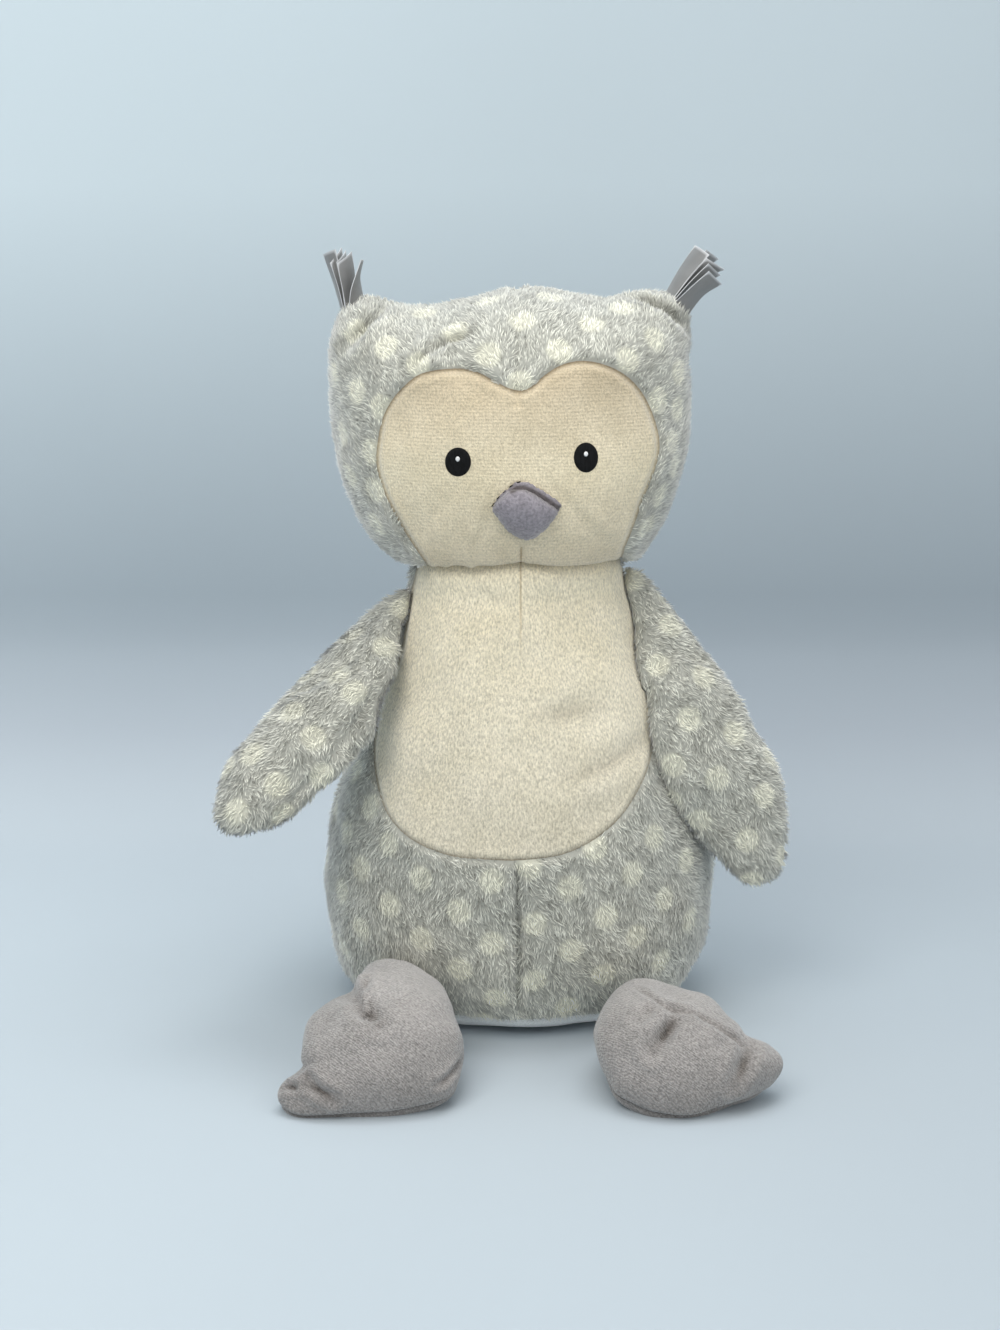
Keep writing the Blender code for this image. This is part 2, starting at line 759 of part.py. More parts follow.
def lowest_height(name, mesh, home):
    """The lowest height of a form once it is subdivided."""
    probe = new_object(name, mesh.copy(), home)
    subdivide(probe)
    bpy.context.view_layer.update()
    graph = bpy.context.evaluated_depsgraph_get()
    settled = probe.evaluated_get(graph).to_mesh()
    lowest = min(point.co.z for point in settled.vertices)
    bpy.data.objects.remove(probe)
    return lowest


def make_foot(name, side, aside, turn, parts, cutters, surfaces, larger, floor):
    mesh = foot_cage(name, side, turn)
    x = side * aside
    front = -BODY_DEPTH / 2 * math.sqrt(max(0, 1 - (2 * x / BODY_WIDTH) ** 2))
    height = -lowest_height(f"{name}_probe", mesh, cutters) - FLOOR_CUT
    centre = Vector((x, -FOOT_FORWARD, height))
    hinge = Vector((x, front - HEEL_SEAM_FORWARD, height + FOOT_REACH * math.cos(FOOT_LEAN)))
    swept = swept_cutters(name, larger, hinge, "X", FOOT_LIMITS, cutters)
    mesh.transform(Matrix.Translation(centre - hinge))
    pivot = new_pivot(f"{name}_pivot", parts, hinge)
    lean = Matrix.Translation(centre) @ Matrix.Rotation(-FOOT_LEAN, 4, "X")
    for face, facing in (("sole", -1), ("back", 1)):
        half = f"{name}_{face}"
        panel = new_object(f"{half}_panel", mesh.copy(), parts, surfaces["mauve"], pivot)
        subdivide(panel)
        thicken(panel, SKIN)
        region = half_region(half, facing, cutters)
        region.data.transform(lean)
        cut(panel, region, "INTERSECT")
        cut_clear(panel, swept)
        cut(panel, floor)
    stuffing = new_object(f"{name}_stuffing", mesh.copy(), parts, surfaces["fibre"], pivot)
    subdivide(stuffing)
    swell(stuffing, -SKIN - CLEARANCE)
    cut_clear(stuffing, swept)


# Ribbon tufts
def ribbon_mesh(name, step):
    """A flat ribbon, this many ribbons from the middle of its tuft, fanned and rolled away from it."""
    shape = bmesh.new()
    bmesh.ops.create_grid(shape, x_segments=1, y_segments=RIBBON_BANDS, size=1)
    for point in shape.verts:
        along = (point.co.y + 1) / 2
        width = point.co.x * RIBBON_WIDTH / 2
        height = along * (RIBBON_LENGTH + RIBBON_ROOT) - RIBBON_ROOT
        bend = step * RIBBON_FAN * along
        point.co.x = width + height * math.sin(step * RIBBON_ROLL)
        point.co.y = step * RIBBON_PITCH + height * math.sin(bend)
        point.co.z = height * math.cos(bend)
    return mesh_of(name, shape)


def make_tuft(name, side, lean, yaw, parts, cutters, surfaces, head_swollen):
    root = Vector((side * (EAR_X - EAR_REACH), 0, EAR_Z))
    swept = swept_cutters(name, (head_swollen,), root, "Y", TUFT_LIMITS, cutters)
    turn = Matrix.Rotation(side * lean, 3, "Y") @ Matrix.Rotation(yaw, 3, "Z")
    pivot = new_pivot(f"{name}_pivot", parts, root, turn.to_euler())
    for index in range(RIBBON_COUNT):
        ribbon_name = f"{name}_ribbon_{index + 1}"
        mesh = ribbon_mesh(ribbon_name, index - (RIBBON_COUNT - 1) / 2)
        ribbon = new_object(ribbon_name, mesh, parts, surfaces["satin"], pivot)
        thicken(ribbon, RIBBON_THICKNESS, 0)
        cut_clear(ribbon, swept)


def make_surfaces():
    return {
        "grey": material("dotted_grey_plush", (0.42, 0.43, 0.40), 0.9),
        "cream": material("cream_velour", (0.78, 0.70, 0.57), 0.9),
        "beige": material("beige_velour", (0.72, 0.60, 0.43), 0.9),
        "base": material("pale_base_cloth", (0.50, 0.54, 0.56), 0.9),
        "mauve": material("mauve_velour", (0.47, 0.41, 0.40), 0.9),
        "felt": material("mauve_felt", (0.30, 0.26, 0.29), 0.9),
        "satin": material("grey_satin", (0.31, 0.31, 0.32), 0.4),
        "black": material("black_thread", (0.01, 0.01, 0.01), 0.5),
        "white": material("white_thread", (0.85, 0.85, 0.85), 0.6),
        "fibre": material("white_fibre", (0.85, 0.85, 0.83), 1.0),
        "bag": material("white_bag_cloth", (0.75, 0.75, 0.72), 0.9),
        "pellets": material("pale_pellets", (0.70, 0.70, 0.68), 0.4),
    }


def main():
    clear_scene()
    parts = new_collection("plush_owl")
    cutters = new_collection("cutters")
    surfaces = make_surfaces()
    body_swollen, floor = make_body(parts, cutters, surfaces)
    head_pivot = new_pivot("head_pivot", parts, NECK_PIVOT)
    head_swollen, head_nodding = make_head(parts, cutters, surfaces, head_pivot)
    make_beak(parts, cutters, surfaces, head_pivot, head_swollen)
    larger = (body_swollen, head_nodding)
    wings = (
        ("left_wing", 1, LEFT_WING_LENGTH, LEFT_WING_LIFT, LEFT_WING_SWING, LEFT_WING_LIMITS),
        ("right_wing", -1, RIGHT_WING_LENGTH, RIGHT_WING_LIFT, RIGHT_WING_SWING, RIGHT_WING_LIMITS),
    )
    for wing in wings:
        make_wing(*wing, parts, cutters, surfaces, larger)
    larger = (body_swollen,)
    make_foot("left_foot", 1, LEFT_FOOT_ASIDE, LEFT_FOOT_TURN, parts, cutters, surfaces, larger, floor)
    make_foot("right_foot", -1, RIGHT_FOOT_ASIDE, RIGHT_FOOT_TURN, parts, cutters, surfaces, larger, floor)
    tufts = (
        ("left_tuft", 1, LEFT_TUFT_LEAN, LEFT_TUFT_YAW),
        ("right_tuft", -1, RIGHT_TUFT_LEAN, RIGHT_TUFT_YAW),
    )
    for tuft in tufts:
        make_tuft(*tuft, parts, cutters, surfaces, head_swollen)


main()
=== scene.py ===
"""A seated plush owl: dotted grey plush, cream velour, mauve feet and beak, and tufts of satin ribbon."""

import math

import bmesh
import bpy
import numpy as np
from mathutils import Matrix, Vector
from mathutils.bvhtree import BVHTree
from mathutils.kdtree import KDTree


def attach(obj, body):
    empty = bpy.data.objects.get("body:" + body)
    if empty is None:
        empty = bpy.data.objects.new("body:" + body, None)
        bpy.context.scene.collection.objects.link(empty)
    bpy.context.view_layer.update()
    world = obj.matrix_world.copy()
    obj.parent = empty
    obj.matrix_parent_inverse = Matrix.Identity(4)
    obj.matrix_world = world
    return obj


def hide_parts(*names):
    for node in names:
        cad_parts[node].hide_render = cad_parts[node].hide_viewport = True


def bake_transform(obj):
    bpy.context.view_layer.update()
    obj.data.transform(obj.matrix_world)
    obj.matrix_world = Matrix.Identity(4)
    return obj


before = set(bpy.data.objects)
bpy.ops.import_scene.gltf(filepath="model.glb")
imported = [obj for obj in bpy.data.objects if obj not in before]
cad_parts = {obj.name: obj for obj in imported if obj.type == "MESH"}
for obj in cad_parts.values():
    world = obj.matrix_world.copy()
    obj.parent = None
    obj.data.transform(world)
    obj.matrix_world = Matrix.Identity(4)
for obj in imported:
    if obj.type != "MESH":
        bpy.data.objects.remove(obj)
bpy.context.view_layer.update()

# Camera, which the picture's pixels below are measured through
PICTURE_WIDE, PICTURE_TALL = 1000, 1330
FOCAL_PIXELS = 1995
EYE_POINT = np.array((-0.007, -0.800, 0.326))
PITCH = math.radians(12.8)
RIGHT = np.array((1.0, 0.0, 0.0))
AHEAD = np.array((0.0, math.cos(PITCH), -math.sin(PITCH)))
ABOVE = np.array((0.0, math.sin(PITCH), math.cos(PITCH)))

SIDES = (("left", 1), ("right", -1))

# Sizes in metres
PILE = 0.0030
HEAD_PILE = 0.0025
PILE_WIDTH = 0.00066
SKIN = 0.0024
COVER = 0.0014
DOT_RADIUS = 0.0050
DOT_COLUMN = 0.0140
DOT_PITCH = 0.0250
THREAD_RADIUS = 0.00022
STITCH_HALF = 0.0006
RIBBON_WIDE = 0.010
RIBBON_THICK = 0.0003
NECK_POINT = np.array((0.0, 0.0, 0.160))
NECK_RADIUS = 0.0525
NECK_DOME = 0.046
LIMB_GAP = 0.0008
WING_HEAD_GAP = 0.0045
FOOT_VOXEL = 0.0030
FOOT_SEAM_BACK = 0.007
BEAK_SUNK = 0.001
WIDE = 0.4

# Heights above the floor
BASE_SEAM_HEIGHT = 0.0115
FILLING_TOP = 0.1855
SHOULDER_HEIGHT = 0.186
NECK_BOTTOM = 0.187
PILE_TOP = 0.192
CHIN_HEIGHT = 0.2005
UNDERSIDE_EDGE = 0.203
UNDERSIDE_TOP = 0.206

# Locks of pile on a square millimetre, and how far pile and velour stand past an outline, in pixels
PILE_DENSITY = 1.15
PILE_PIXELS = 3.0
VELOUR_PIXELS = 0.5
PRESSURE_FRAMES = 20

# Outlines in the picture's pixels
HEAD_OUTLINE = [
    (426, 569), (408, 567), (398, 562), (381, 550), (364, 530), (346, 492), (334, 452), (328, 400),
    (328, 350), (333, 325), (339, 310), (350, 300), (366, 296), (384, 300), (402, 304), (425, 304),
    (450, 300), (477, 294), (506, 287), (528, 285), (545, 286), (568, 290), (592, 295), (616, 297),
    (632, 292), (648, 289), (668, 292), (682, 300), (690, 314), (691, 335), (690, 360), (692, 400),
    (690, 440), (681, 480), (666, 520), (647, 550), (637, 563), (624, 562), (585, 568), (549, 569),
    (521, 565), (495, 569), (461, 570),
]
HEAD_CENTRE = (508, 430)
BODY_OUTLINE = [
    (349, 750), (338, 785), (328, 830), (324, 870), (325, 900), (330, 930), (338, 960), (350, 985),
    (370, 1006), (405, 1020), (463, 1028), (520, 1031), (590, 1027), (640, 1016), (672, 998),
    (690, 975), (701, 952), (709, 920), (713, 885), (713, 850), (706, 812), (694, 775),
]
LEFT_WING_OUTLINE = [
    (624, 572), (631, 567), (640, 570), (650, 580), (664, 600), (682, 623), (703, 647), (725, 675),
    (745, 701), (760, 731),
    (775, 762), (784, 790), (789, 816), (788, 840), (781, 868), (771, 881), (757, 887), (738, 883),
    (723, 868), (703, 846), (684, 825), (669, 799), (657, 773), (650, 740), (643, 700), (637, 665),
    (632, 630), (626, 600),
]
RIGHT_WING_OUTLINE = [
    (410, 586), (404, 590), (392, 596), (376, 606), (355, 623), (329, 649), (304, 675), (280, 697),
    (259, 723), (237, 749), (222, 771), (214, 793), (211, 813), (217, 828), (233, 835), (256, 832),
    (281, 823), (304, 808), (318, 795), (333, 782), (348, 767), (361, 752), (372, 737), (378, 719),
    (384, 697), (394, 671), (401, 638), (410, 603),
]
LEFT_FOOT_OUTLINE = [
    (595, 1033), (599, 1015), (607, 998), (619, 986), (640, 979), (664, 982), (692, 990), (717, 1003),
    (737, 1020), (748, 1037), (765, 1043), (777, 1052), (783, 1063), (776, 1081), (755, 1097),
    (720, 1113), (689, 1124), (664, 1123), (636, 1113), (615, 1099), (606, 1076), (597, 1053),
]
RIGHT_FOOT_OUTLINE = [
    (358, 985), (360, 974), (372, 962), (390, 958), (414, 964), (432, 976), (447, 991), (456, 1012),
    (463, 1038), (462, 1066), (452, 1094), (428, 1110), (386, 1119), (344, 1122), (302, 1120),
    (283, 1110), (277, 1096), (284, 1081), (300, 1073), (303, 1058), (303, 1038), (309, 1019),
    (325, 1003), (350, 994),
]
BELLY_OUTLINE = [
    (420, 540), (418, 560), (409, 601), (403, 640), (394, 672), (382, 697), (374, 740), (375, 774),
    (386, 813), (411, 840), (448, 856), (483, 860), (517, 861), (560, 856), (595, 840), (623, 815),
    (644, 780), (653, 750), (655, 720), (650, 690), (643, 650), (634, 600), (626, 560), (622, 540),
]
FACE_OUTLINE = [
    (425, 563), (410, 541), (394, 514), (382, 487), (376, 463), (378, 439), (383, 417), (395, 396),
    (415, 377), (432, 371), (450, 369), (464, 369), (477, 372), (498, 383), (508, 388), (519, 391),
    (530, 388), (544, 376), (562, 365), (584, 361), (608, 366), (629, 378), (645, 397), (656, 423),
    (660, 447), (655, 471), (643, 501), (634, 527), (625, 549),
]
BEAK_TIP = [
    (556, 519), (550, 527), (543, 534), (535, 539.5), (527, 541.5), (519, 540), (511, 535.5), (504, 529), (497, 520),
]
BEAK_OUTLINE = [
    (490, 511), (493, 502), (499, 494), (507, 487), (513, 482), (520, 480), (526, 480), (535, 484),
    (547, 491), (554, 496), (562, 502), (563, 506), (560, 512), *BEAK_TIP,
]
BEAK_FOLD_OUTLINE = [
    (490, 511), (493, 503), (499, 496), (507, 490), (515, 488), (524, 487), (533, 491), (541, 496),
    (550, 502), (558, 507), (560, 511), *BEAK_TIP,
]
BEAK_GAP = [(512, 491), (518, 488), (526, 488.5), (534, 492), (543, 497.5), (551, 503), (558, 507.5)]
BEAK_SIDE = [(489.5, 510.0), (500, 494), (514, 483)]
BEAK_STITCHES = [
    ((491.5, 507), (494.5, 502.5)), ((496.5, 499.5), (500, 496)), ((502.5, 493.5), (506.5, 490.5)),
    ((509, 487.5), (513, 484.8)), ((516, 483), (521, 481.4)),
]
# Each eye's centre, its half width and half height, and its glint's centre
EYES = {"right": ((458, 462), (13.0, 14.5), (457.7, 459)), "left": ((586, 457.5), (12.2, 15.0), (586, 454))}

# Where the wings and feet stand and turn, in metres
FOOT_CENTRES = {"left": (0.062, -0.1000, 0.0235), "right": (-0.055, -0.1000, 0.0235)}
FOOT_LEAN = math.radians(45)
FOOT_HALF_THICK = 0.019
HEEL_SHARE = 2.0
WING_PIVOTS = {"left": (0.0475, -0.024, 0.175), "right": (-0.0475, -0.024, 0.175)}
WING_BEND = 0.030
FOOT_PIVOTS = {"left": (0.062, -0.0574, 0.0457), "right": (-0.055, -0.0637, 0.0450)}
FOOT_BACK_SWING = math.sin(math.radians(6))

# Ribbons: their left and right edges from root to tip in the picture's pixels, and how far behind the ear's seam
# each edge lies at the root and at the tip
RIGHT_TUFT = [
    (
        [(343, 316), (334, 285), (323.3, 254.5)],
        [(347, 316), (342, 284), (335.6, 249.2)], (0.004, 0.007), (0.003, 0.004),
    ),
    ([(345, 316), (338, 287), (330.0, 263)], [(348, 316), (346, 284), (341.5, 247.5)], (0.0015, 0.002), (0.004, 0.007)),
    ([(346, 316), (342, 287), (336.5, 262)], [(349, 316), (350, 286), (345.5, 250.5)], (0.0, -0.001), (0.003, 0.004)),
    (
        [(347, 316), (342.5, 290), (337, 263.5)],
        [(352, 316), (355, 282), (351.6, 251.5)], (-0.002, -0.005), (0.002, 0.001),
    ),
    (
        [(348.5, 315), (350.5, 292), (355, 277), (358.5, 267), (361, 259.5)],
        [(366, 310), (362, 291), (360, 278), (361, 267), (362.5, 259.5)], (-0.005, -0.006), (-0.001, -0.002),
    ),
]
LEFT_TUFT = [
    ([(662, 300), (678, 271), (695.2, 245.3)], [(670, 304), (691, 275), (709.5, 255)], (0.004, 0.005), (0.002, 0.001)),
    ([(668, 303), (687, 272), (706.3, 249.6)], [(670, 304), (695, 276), (718.5, 259)], (0.005, 0.006), (0.008, 0.010)),
    (
        [(669, 304), (689, 278), (706.5, 258)],
        [(671, 306), (699, 281), (724.5, 269.5)], (-0.001, -0.004), (0.004, 0.005),
    ),
    (
        [(670, 305), (690, 282), (708.5, 263.5)],
        [(672, 308), (698, 288), (720.5, 275)], (-0.002, -0.006), (0.002, 0.002),
    ),
    (
        [(670, 307), (690, 288), (709, 271.1)],
        [(686, 318), (703, 296), (721.8, 284)], (-0.005, -0.009), (-0.002, -0.004),
    ),
]

# Centres of the dots that show, in the picture's pixels
BODY_DOTS = [
    (371, 807), (347, 831), (337, 813), (389, 844), (362, 868), (421, 878), (342, 890), (492, 881), (390, 905),
    (459, 911), (362, 929), (422, 939), (492, 943), (460, 969), (344, 947), (496, 998), (357, 771),
    (529, 867), (595, 848), (654, 837), (570, 888), (632, 874), (686, 860), (606, 916), (534, 923),
    (664, 899), (571, 950), (636, 936), (689, 920), (534, 980), (603, 974), (661, 960), (567, 1006),
    (420, 1000), (388, 968), (366, 988),
]
HEAD_DOTS = [
    (455, 330), (522, 321), (488, 355), (559, 351), (419, 365), (386, 347), (425, 314), (357, 392),
    (334, 375), (488, 301), (549, 298), (592, 325), (627, 360), (655, 339), (658, 400), (621, 308),
    (678, 372), (672, 442), (677, 409), (674, 466), (520, 384), (371, 452), (343, 434), (374, 490),
    (355, 332), (381, 407), (376, 525), (351, 476), (646, 527), (660, 495),
]
RIGHT_WING_DOTS = [
    (351, 636), (401, 608), (385, 647), (339, 676), (354, 692), (309, 675), (292, 712), (266, 719),
    (313, 738), (252, 754), (322, 776), (277, 785), (236, 811), (283, 815), (227, 767), (215, 817),
]
LEFT_WING_DOTS = [
    (632, 579), (671, 625), (658, 666), (703, 677), (689, 719), (734, 733), (649, 710), (673, 765),
    (717, 778), (764, 795), (699, 820), (747, 840), (782, 855), (751, 881), (770, 755), (735, 690),
]

# Creases and dimples: their path in the picture's pixels, depth and half width; each is pressed in and darkened with
# painted shade
BODY_CREASES = [
    ([(518, 864), (518.5, 915), (518.5, 965), (518, 1000)], 0.0018, 0.0011),
    ([(536, 714), (560, 714), (584, 710), (600, 706)], 0.0015, 0.0046),
    ([(650, 738), (628, 752), (602, 768), (566, 778)], 0.0013, 0.0040),
]
HEAD_CREASES = [
    ([(408, 372), (430, 350), (452, 340), (476, 334)], 0.0022, 0.0022),
    ([(384, 304), (372, 318), (358, 334), (347, 345)], 0.0034, 0.0030),
    ([(632, 298), (652, 303), (672, 314), (692, 334)], 0.0030, 0.0026),
    ([(350, 330), (342, 352)], 0.0018, 0.0040),
    ([(521, 545), (521, 562)], 0.0012, 0.0012),
    ([(510, 289), (511, 296), (512, 306)], 0.0016, 0.0009),
]
LEFT_WING_CREASES = [([(626, 606), (640, 612)], 0.0020, 0.0040)]
RIGHT_WING_CREASES = [
    ([(400, 640), (386, 634)], 0.0022, 0.0045),
    ([(384, 700), (366, 716), (352, 745)], 0.0014, 0.0035),
]
LEFT_FOOT_CREASES = [
    ([(677, 1015), (670, 1027), (662, 1039), (654, 1050)], 0.0046, 0.0026),
    ([(640, 1018), (648, 1012), (657, 1007)], 0.0022, 0.0024),
    ([(637, 988), (652, 997), (668, 1009), (690, 1013), (712, 1023), (730, 1036), (746, 1050)], 0.0011, 0.0013),
    ([(750, 1048), (746, 1058), (741, 1072), (735, 1084)], 0.0036, 0.0026),
    ([(672, 1008), (683, 998)], 0.0014, 0.0022),
]
RIGHT_FOOT_CREASES = [
    ([(352, 994), (359, 1000), (366, 1009)], 0.0030, 0.0030),
    ([(362, 1008), (371, 1016), (380, 1024)], 0.0040, 0.0026),
    ([(367, 978), (365, 986), (361, 990)], 0.0022, 0.0016),
    ([(284, 1088), (291, 1087), (300, 1088)], 0.0030, 0.0013),
    ([(308, 1082), (320, 1091), (334, 1099)], 0.0036, 0.0018),
    ([(303, 1070), (306, 1080), (300, 1092)], 0.0022, 0.0030),
    ([(462, 1058), (456, 1069), (446, 1080), (436, 1086)], 0.0016, 0.0013),
]


# Picture and space
def project(points):
    """Pixels across and down, and the depth, of points in metres."""
    away = points - EYE_POINT
    depth = away @ AHEAD
    across = PICTURE_WIDE / 2 + FOCAL_PIXELS * (away @ RIGHT) / depth
    down = PICTURE_TALL / 2 - FOCAL_PIXELS * (away @ ABOVE) / depth
    return np.stack((across, down), axis=1), depth


def unproject(pixels, depth):
    """Points in metres, of pixels across and down at a depth."""
    across = (pixels[:, 0] - PICTURE_WIDE / 2) / FOCAL_PIXELS
    down = (PICTURE_TALL / 2 - pixels[:, 1]) / FOCAL_PIXELS
    return EYE_POINT + depth[:, None] * (AHEAD + across[:, None] * RIGHT + down[:, None] * ABOVE)


def tree_of(mesh):
    shape = bmesh.new()
    shape.from_mesh(mesh)
    tree = BVHTree.FromBMesh(shape)
    shape.free()
    return tree


def seen_on(tree, pixels):
    """Where the sight line through each pixel meets the surface."""
    found = []
    for pixel in pixels:
        sight = unproject(np.array([pixel], float), np.ones(1))[0] - EYE_POINT
        place, _, _, _ = tree.ray_cast(Vector(EYE_POINT), Vector(sight).normalized())
        if place is not None:
            found.append(np.array(place))
    return np.array(found)


# Meshes
def link(name, data):
    made = bpy.data.objects.new(name, data)
    bpy.context.scene.collection.objects.link(made)
    return made


def object_of(name, shape):
    """An object with the mesh that a bmesh holds."""
    mesh = bpy.data.meshes.new(name)
    shape.to_mesh(mesh)
    shape.free()
    return link(name, mesh)


def primitive(add, move, **sizes):
    """One of Blender's primitives, its mesh carried to its place."""
    bpy.ops.object.select_all(action="DESELECT")
    add(**sizes)
    made = bpy.context.active_object
    made.data.transform(move)
    return made


def only(obj):
    bpy.ops.object.select_all(action="DESELECT")
    obj.select_set(True)
    bpy.context.view_layer.objects.active = obj


def apply_modifiers(obj):
    only(obj)
    for modifier in list(obj.modifiers):
        bpy.ops.object.modifier_apply(modifier=modifier.name)


def points_of(mesh):
    flat = np.empty(len(mesh.vertices) * 3)
    mesh.vertices.foreach_get("co", flat)
    return flat.reshape(-1, 3)


def set_points(mesh, points):
    mesh.vertices.foreach_set("co", points.astype(np.float32).ravel())
    mesh.update()


def normals_of(mesh):
    flat = np.empty(len(mesh.vertices) * 3, np.float32)
    mesh.vertex_normals.foreach_get("vector", flat)
    return flat.reshape(-1, 3).astype(float)


def store(mesh, name, values):
    attribute = mesh.attributes.get(name) or mesh.attributes.new(name, "FLOAT", "POINT")
    attribute.data.foreach_set("value", values.astype(np.float32))


def waves(points, size, seed, count, slow, fast):
    """A sum of sine waves over the points, in random ways and about one size apart."""
    random = np.random.default_rng(seed)
    total = np.zeros(len(points))
    for _ in range(count):
        way = random.normal(size=3)
        way *= random.uniform(slow, fast) / np.linalg.norm(way)
        total += np.sin(points @ way * (2 * math.pi / size) + random.uniform(0, 2 * math.pi))
    return total


# Stuffed forms
def even_out(form, voxel):
    remesh = form.modifiers.new("Even", "REMESH")
    remesh.mode = "VOXEL"
    remesh.voxel_size = voxel
    apply_modifiers(form)
    return form


def stuffed(name, nodes, voxel):
    """The stuffing's solid as an even mesh, ready to be blown up to its cover."""
    shape = bmesh.new()
    for node in nodes:
        shape.from_mesh(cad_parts[node].data)
    bmesh.ops.remove_doubles(shape, verts=shape.verts, dist=1e-6)
    return even_out(object_of(name, shape), voxel)


def swollen_share(mask, rounds=1500):
    """Fullness from 0 at the edge of a masked grid to 1 at its middle, like a blown-up bag."""
    height = np.zeros(mask.shape)
    for _ in range(rounds):
        around = np.zeros(mask.shape)
        around[1:-1, 1:-1] = (height[:-2, 1:-1] + height[2:, 1:-1] + height[1:-1, :-2] + height[1:-1, 2:]) / 4
        height = (around + 1) * mask
    return np.sqrt(height / height.max())


def two_sided(name, mask, front, back):
    """A closed bag from a grid's front and back points, joined round the edge."""
    shape = bmesh.new()
    verts = {}
    for side, points in enumerate((front, back)):
        for row, column in np.argwhere(mask):
            verts[side, row, column] = shape.verts.new(points[row, column])
    for row, column in np.argwhere(mask[:-1, :-1] & mask[1:, :-1] & mask[:-1, 1:] & mask[1:, 1:]):
        ring = [(row, column), (row, column + 1), (row + 1, column + 1), (row + 1, column)]
        shape.faces.new([verts[(0, *place)] for place in ring])
        shape.faces.new([verts[(1, *place)] for place in reversed(ring)])
    place_of = {vert: place for place, vert in verts.items()}
    for edge in [edge for edge in shape.edges if len(edge.link_faces) == 1]:
        a, b = (place_of[vert] for vert in edge.verts)
        if a[0] == 0:
            shape.faces.new([verts[a], verts[b], verts[(1, *b[1:])], verts[(1, *a[1:])]])
    bmesh.ops.delete(shape, geom=[vert for vert in shape.verts if not vert.link_faces], context="VERTS")
    bmesh.ops.recalc_face_normals(shape, faces=shape.faces)
    return object_of(name, shape)


def foot_form(name, outline, centre, step=0.0012):
    """A leaning pad with the outline that the picture shows, and a heel behind it."""
    centre = np.array(centre)
    up = np.array((0, math.sin(FOOT_LEAN), math.cos(FOOT_LEAN)))
    facing = np.array((0, -math.cos(FOOT_LEAN), math.sin(FOOT_LEAN)))
    rim = smooth_path(outline + outline[:1], 3)
    sight = unproject(rim, np.ones(len(rim))) - EYE_POINT
    flat = EYE_POINT + sight * (((centre - EYE_POINT) @ facing) / (sight @ facing))[:, None] - centre
    loop = np.stack((flat[:, 0], flat @ up), axis=1)
    low, high = loop.min(axis=0) - 2 * step, loop.max(axis=0) + 2 * step
    across, along = np.meshgrid(np.arange(low[0], high[0], step), np.arange(low[1], high[1], step))
    mask = inside(loop, across.ravel(), along.ravel()).reshape(across.shape)
    thick = FOOT_HALF_THICK * swollen_share(mask)
    middle = centre + across[..., None] * RIGHT + along[..., None] * up
    form = two_sided(name, mask, middle + thick[..., None] * facing, middle - thick[..., None] * facing)
    points = points_of(form.data)
    heel = points[:, 1] > centre[1]
    points[heel, 1] = centre[1] + (points[heel, 1] - centre[1]) * HEEL_SHARE
    set_points(form.data, points)
    return even_out(form, FOOT_VOXEL)


def raised_on(name, tree, outline, thick, step=2.0):
    """A small stuffed piece on a surface, with the outline that the picture shows."""
    loop = smooth_path(outline + outline[:1], 3)
    low, high = loop.min(axis=0) - 2 * step, loop.max(axis=0) + 2 * step
    across, down = np.meshgrid(np.arange(low[0], high[0], step), np.arange(low[1], high[1], step))
    pixels = np.stack((across.ravel(), down.ravel()), axis=1)
    mask = inside(loop, pixels[:, 0], pixels[:, 1])
    rest = np.zeros((len(pixels), 3))
    rest[mask] = seen_on(tree, pixels[mask])
    mask = mask.reshape(across.shape)
    rest = rest.reshape(*across.shape, 3)
    toward = EYE_POINT - rest
    toward /= np.linalg.norm(toward, axis=2, keepdims=True)
    front = rest + thick * swollen_share(mask)[..., None] * toward
    return two_sided(name, mask, front, rest - BEAK_SUNK * toward)


def blow_up(forms, most):
    """Cloth pressure swells each form, and no point moves further than most."""
    before = {form.name: points_of(form.data) for form in forms}
    for form in forms:
        cloth = form.modifiers.new("Cloth", "CLOTH")
        cloth.settings.use_pressure = True
        cloth.settings.uniform_pressure_force = 4
        cloth.settings.effector_weights.gravity = 0
        cloth.settings.quality = 5
        cloth.point_cache.frame_start = 1
        cloth.point_cache.frame_end = PRESSURE_FRAMES
    for step in range(1, PRESSURE_FRAMES + 1):
        bpy.context.scene.frame_set(step)
    graph = bpy.context.evaluated_depsgraph_get()
    for form in forms:
        swollen = points_of(form.evaluated_get(graph).data)
        form.modifiers.clear()
        start = before[form.name]
        moved = swollen - start
        length = np.linalg.norm(moved, axis=1, keepdims=True)
        set_points(form.data, start + moved * np.minimum(1, most / np.maximum(length, 1e-9)))
    bpy.context.scene.frame_set(1)


def soften(form, levels, smooth=4):
    relax = form.modifiers.new("Relax", "SMOOTH")
    relax.iterations = smooth
    relax.factor = 0.5
    divide = form.modifiers.new("Divide", "SUBSURF")
    divide.levels = levels
    divide.render_levels = levels
    apply_modifiers(form)


def set_back(form, most, top, reach):
    """Carries a wing's root back to the body's side seam, less and less down the wing."""
    points = points_of(form.data)
    points[:, 1] += most * np.exp(-((np.maximum(0, top - points[:, 2]) / reach) ** 2))
    set_points(form.data, points)


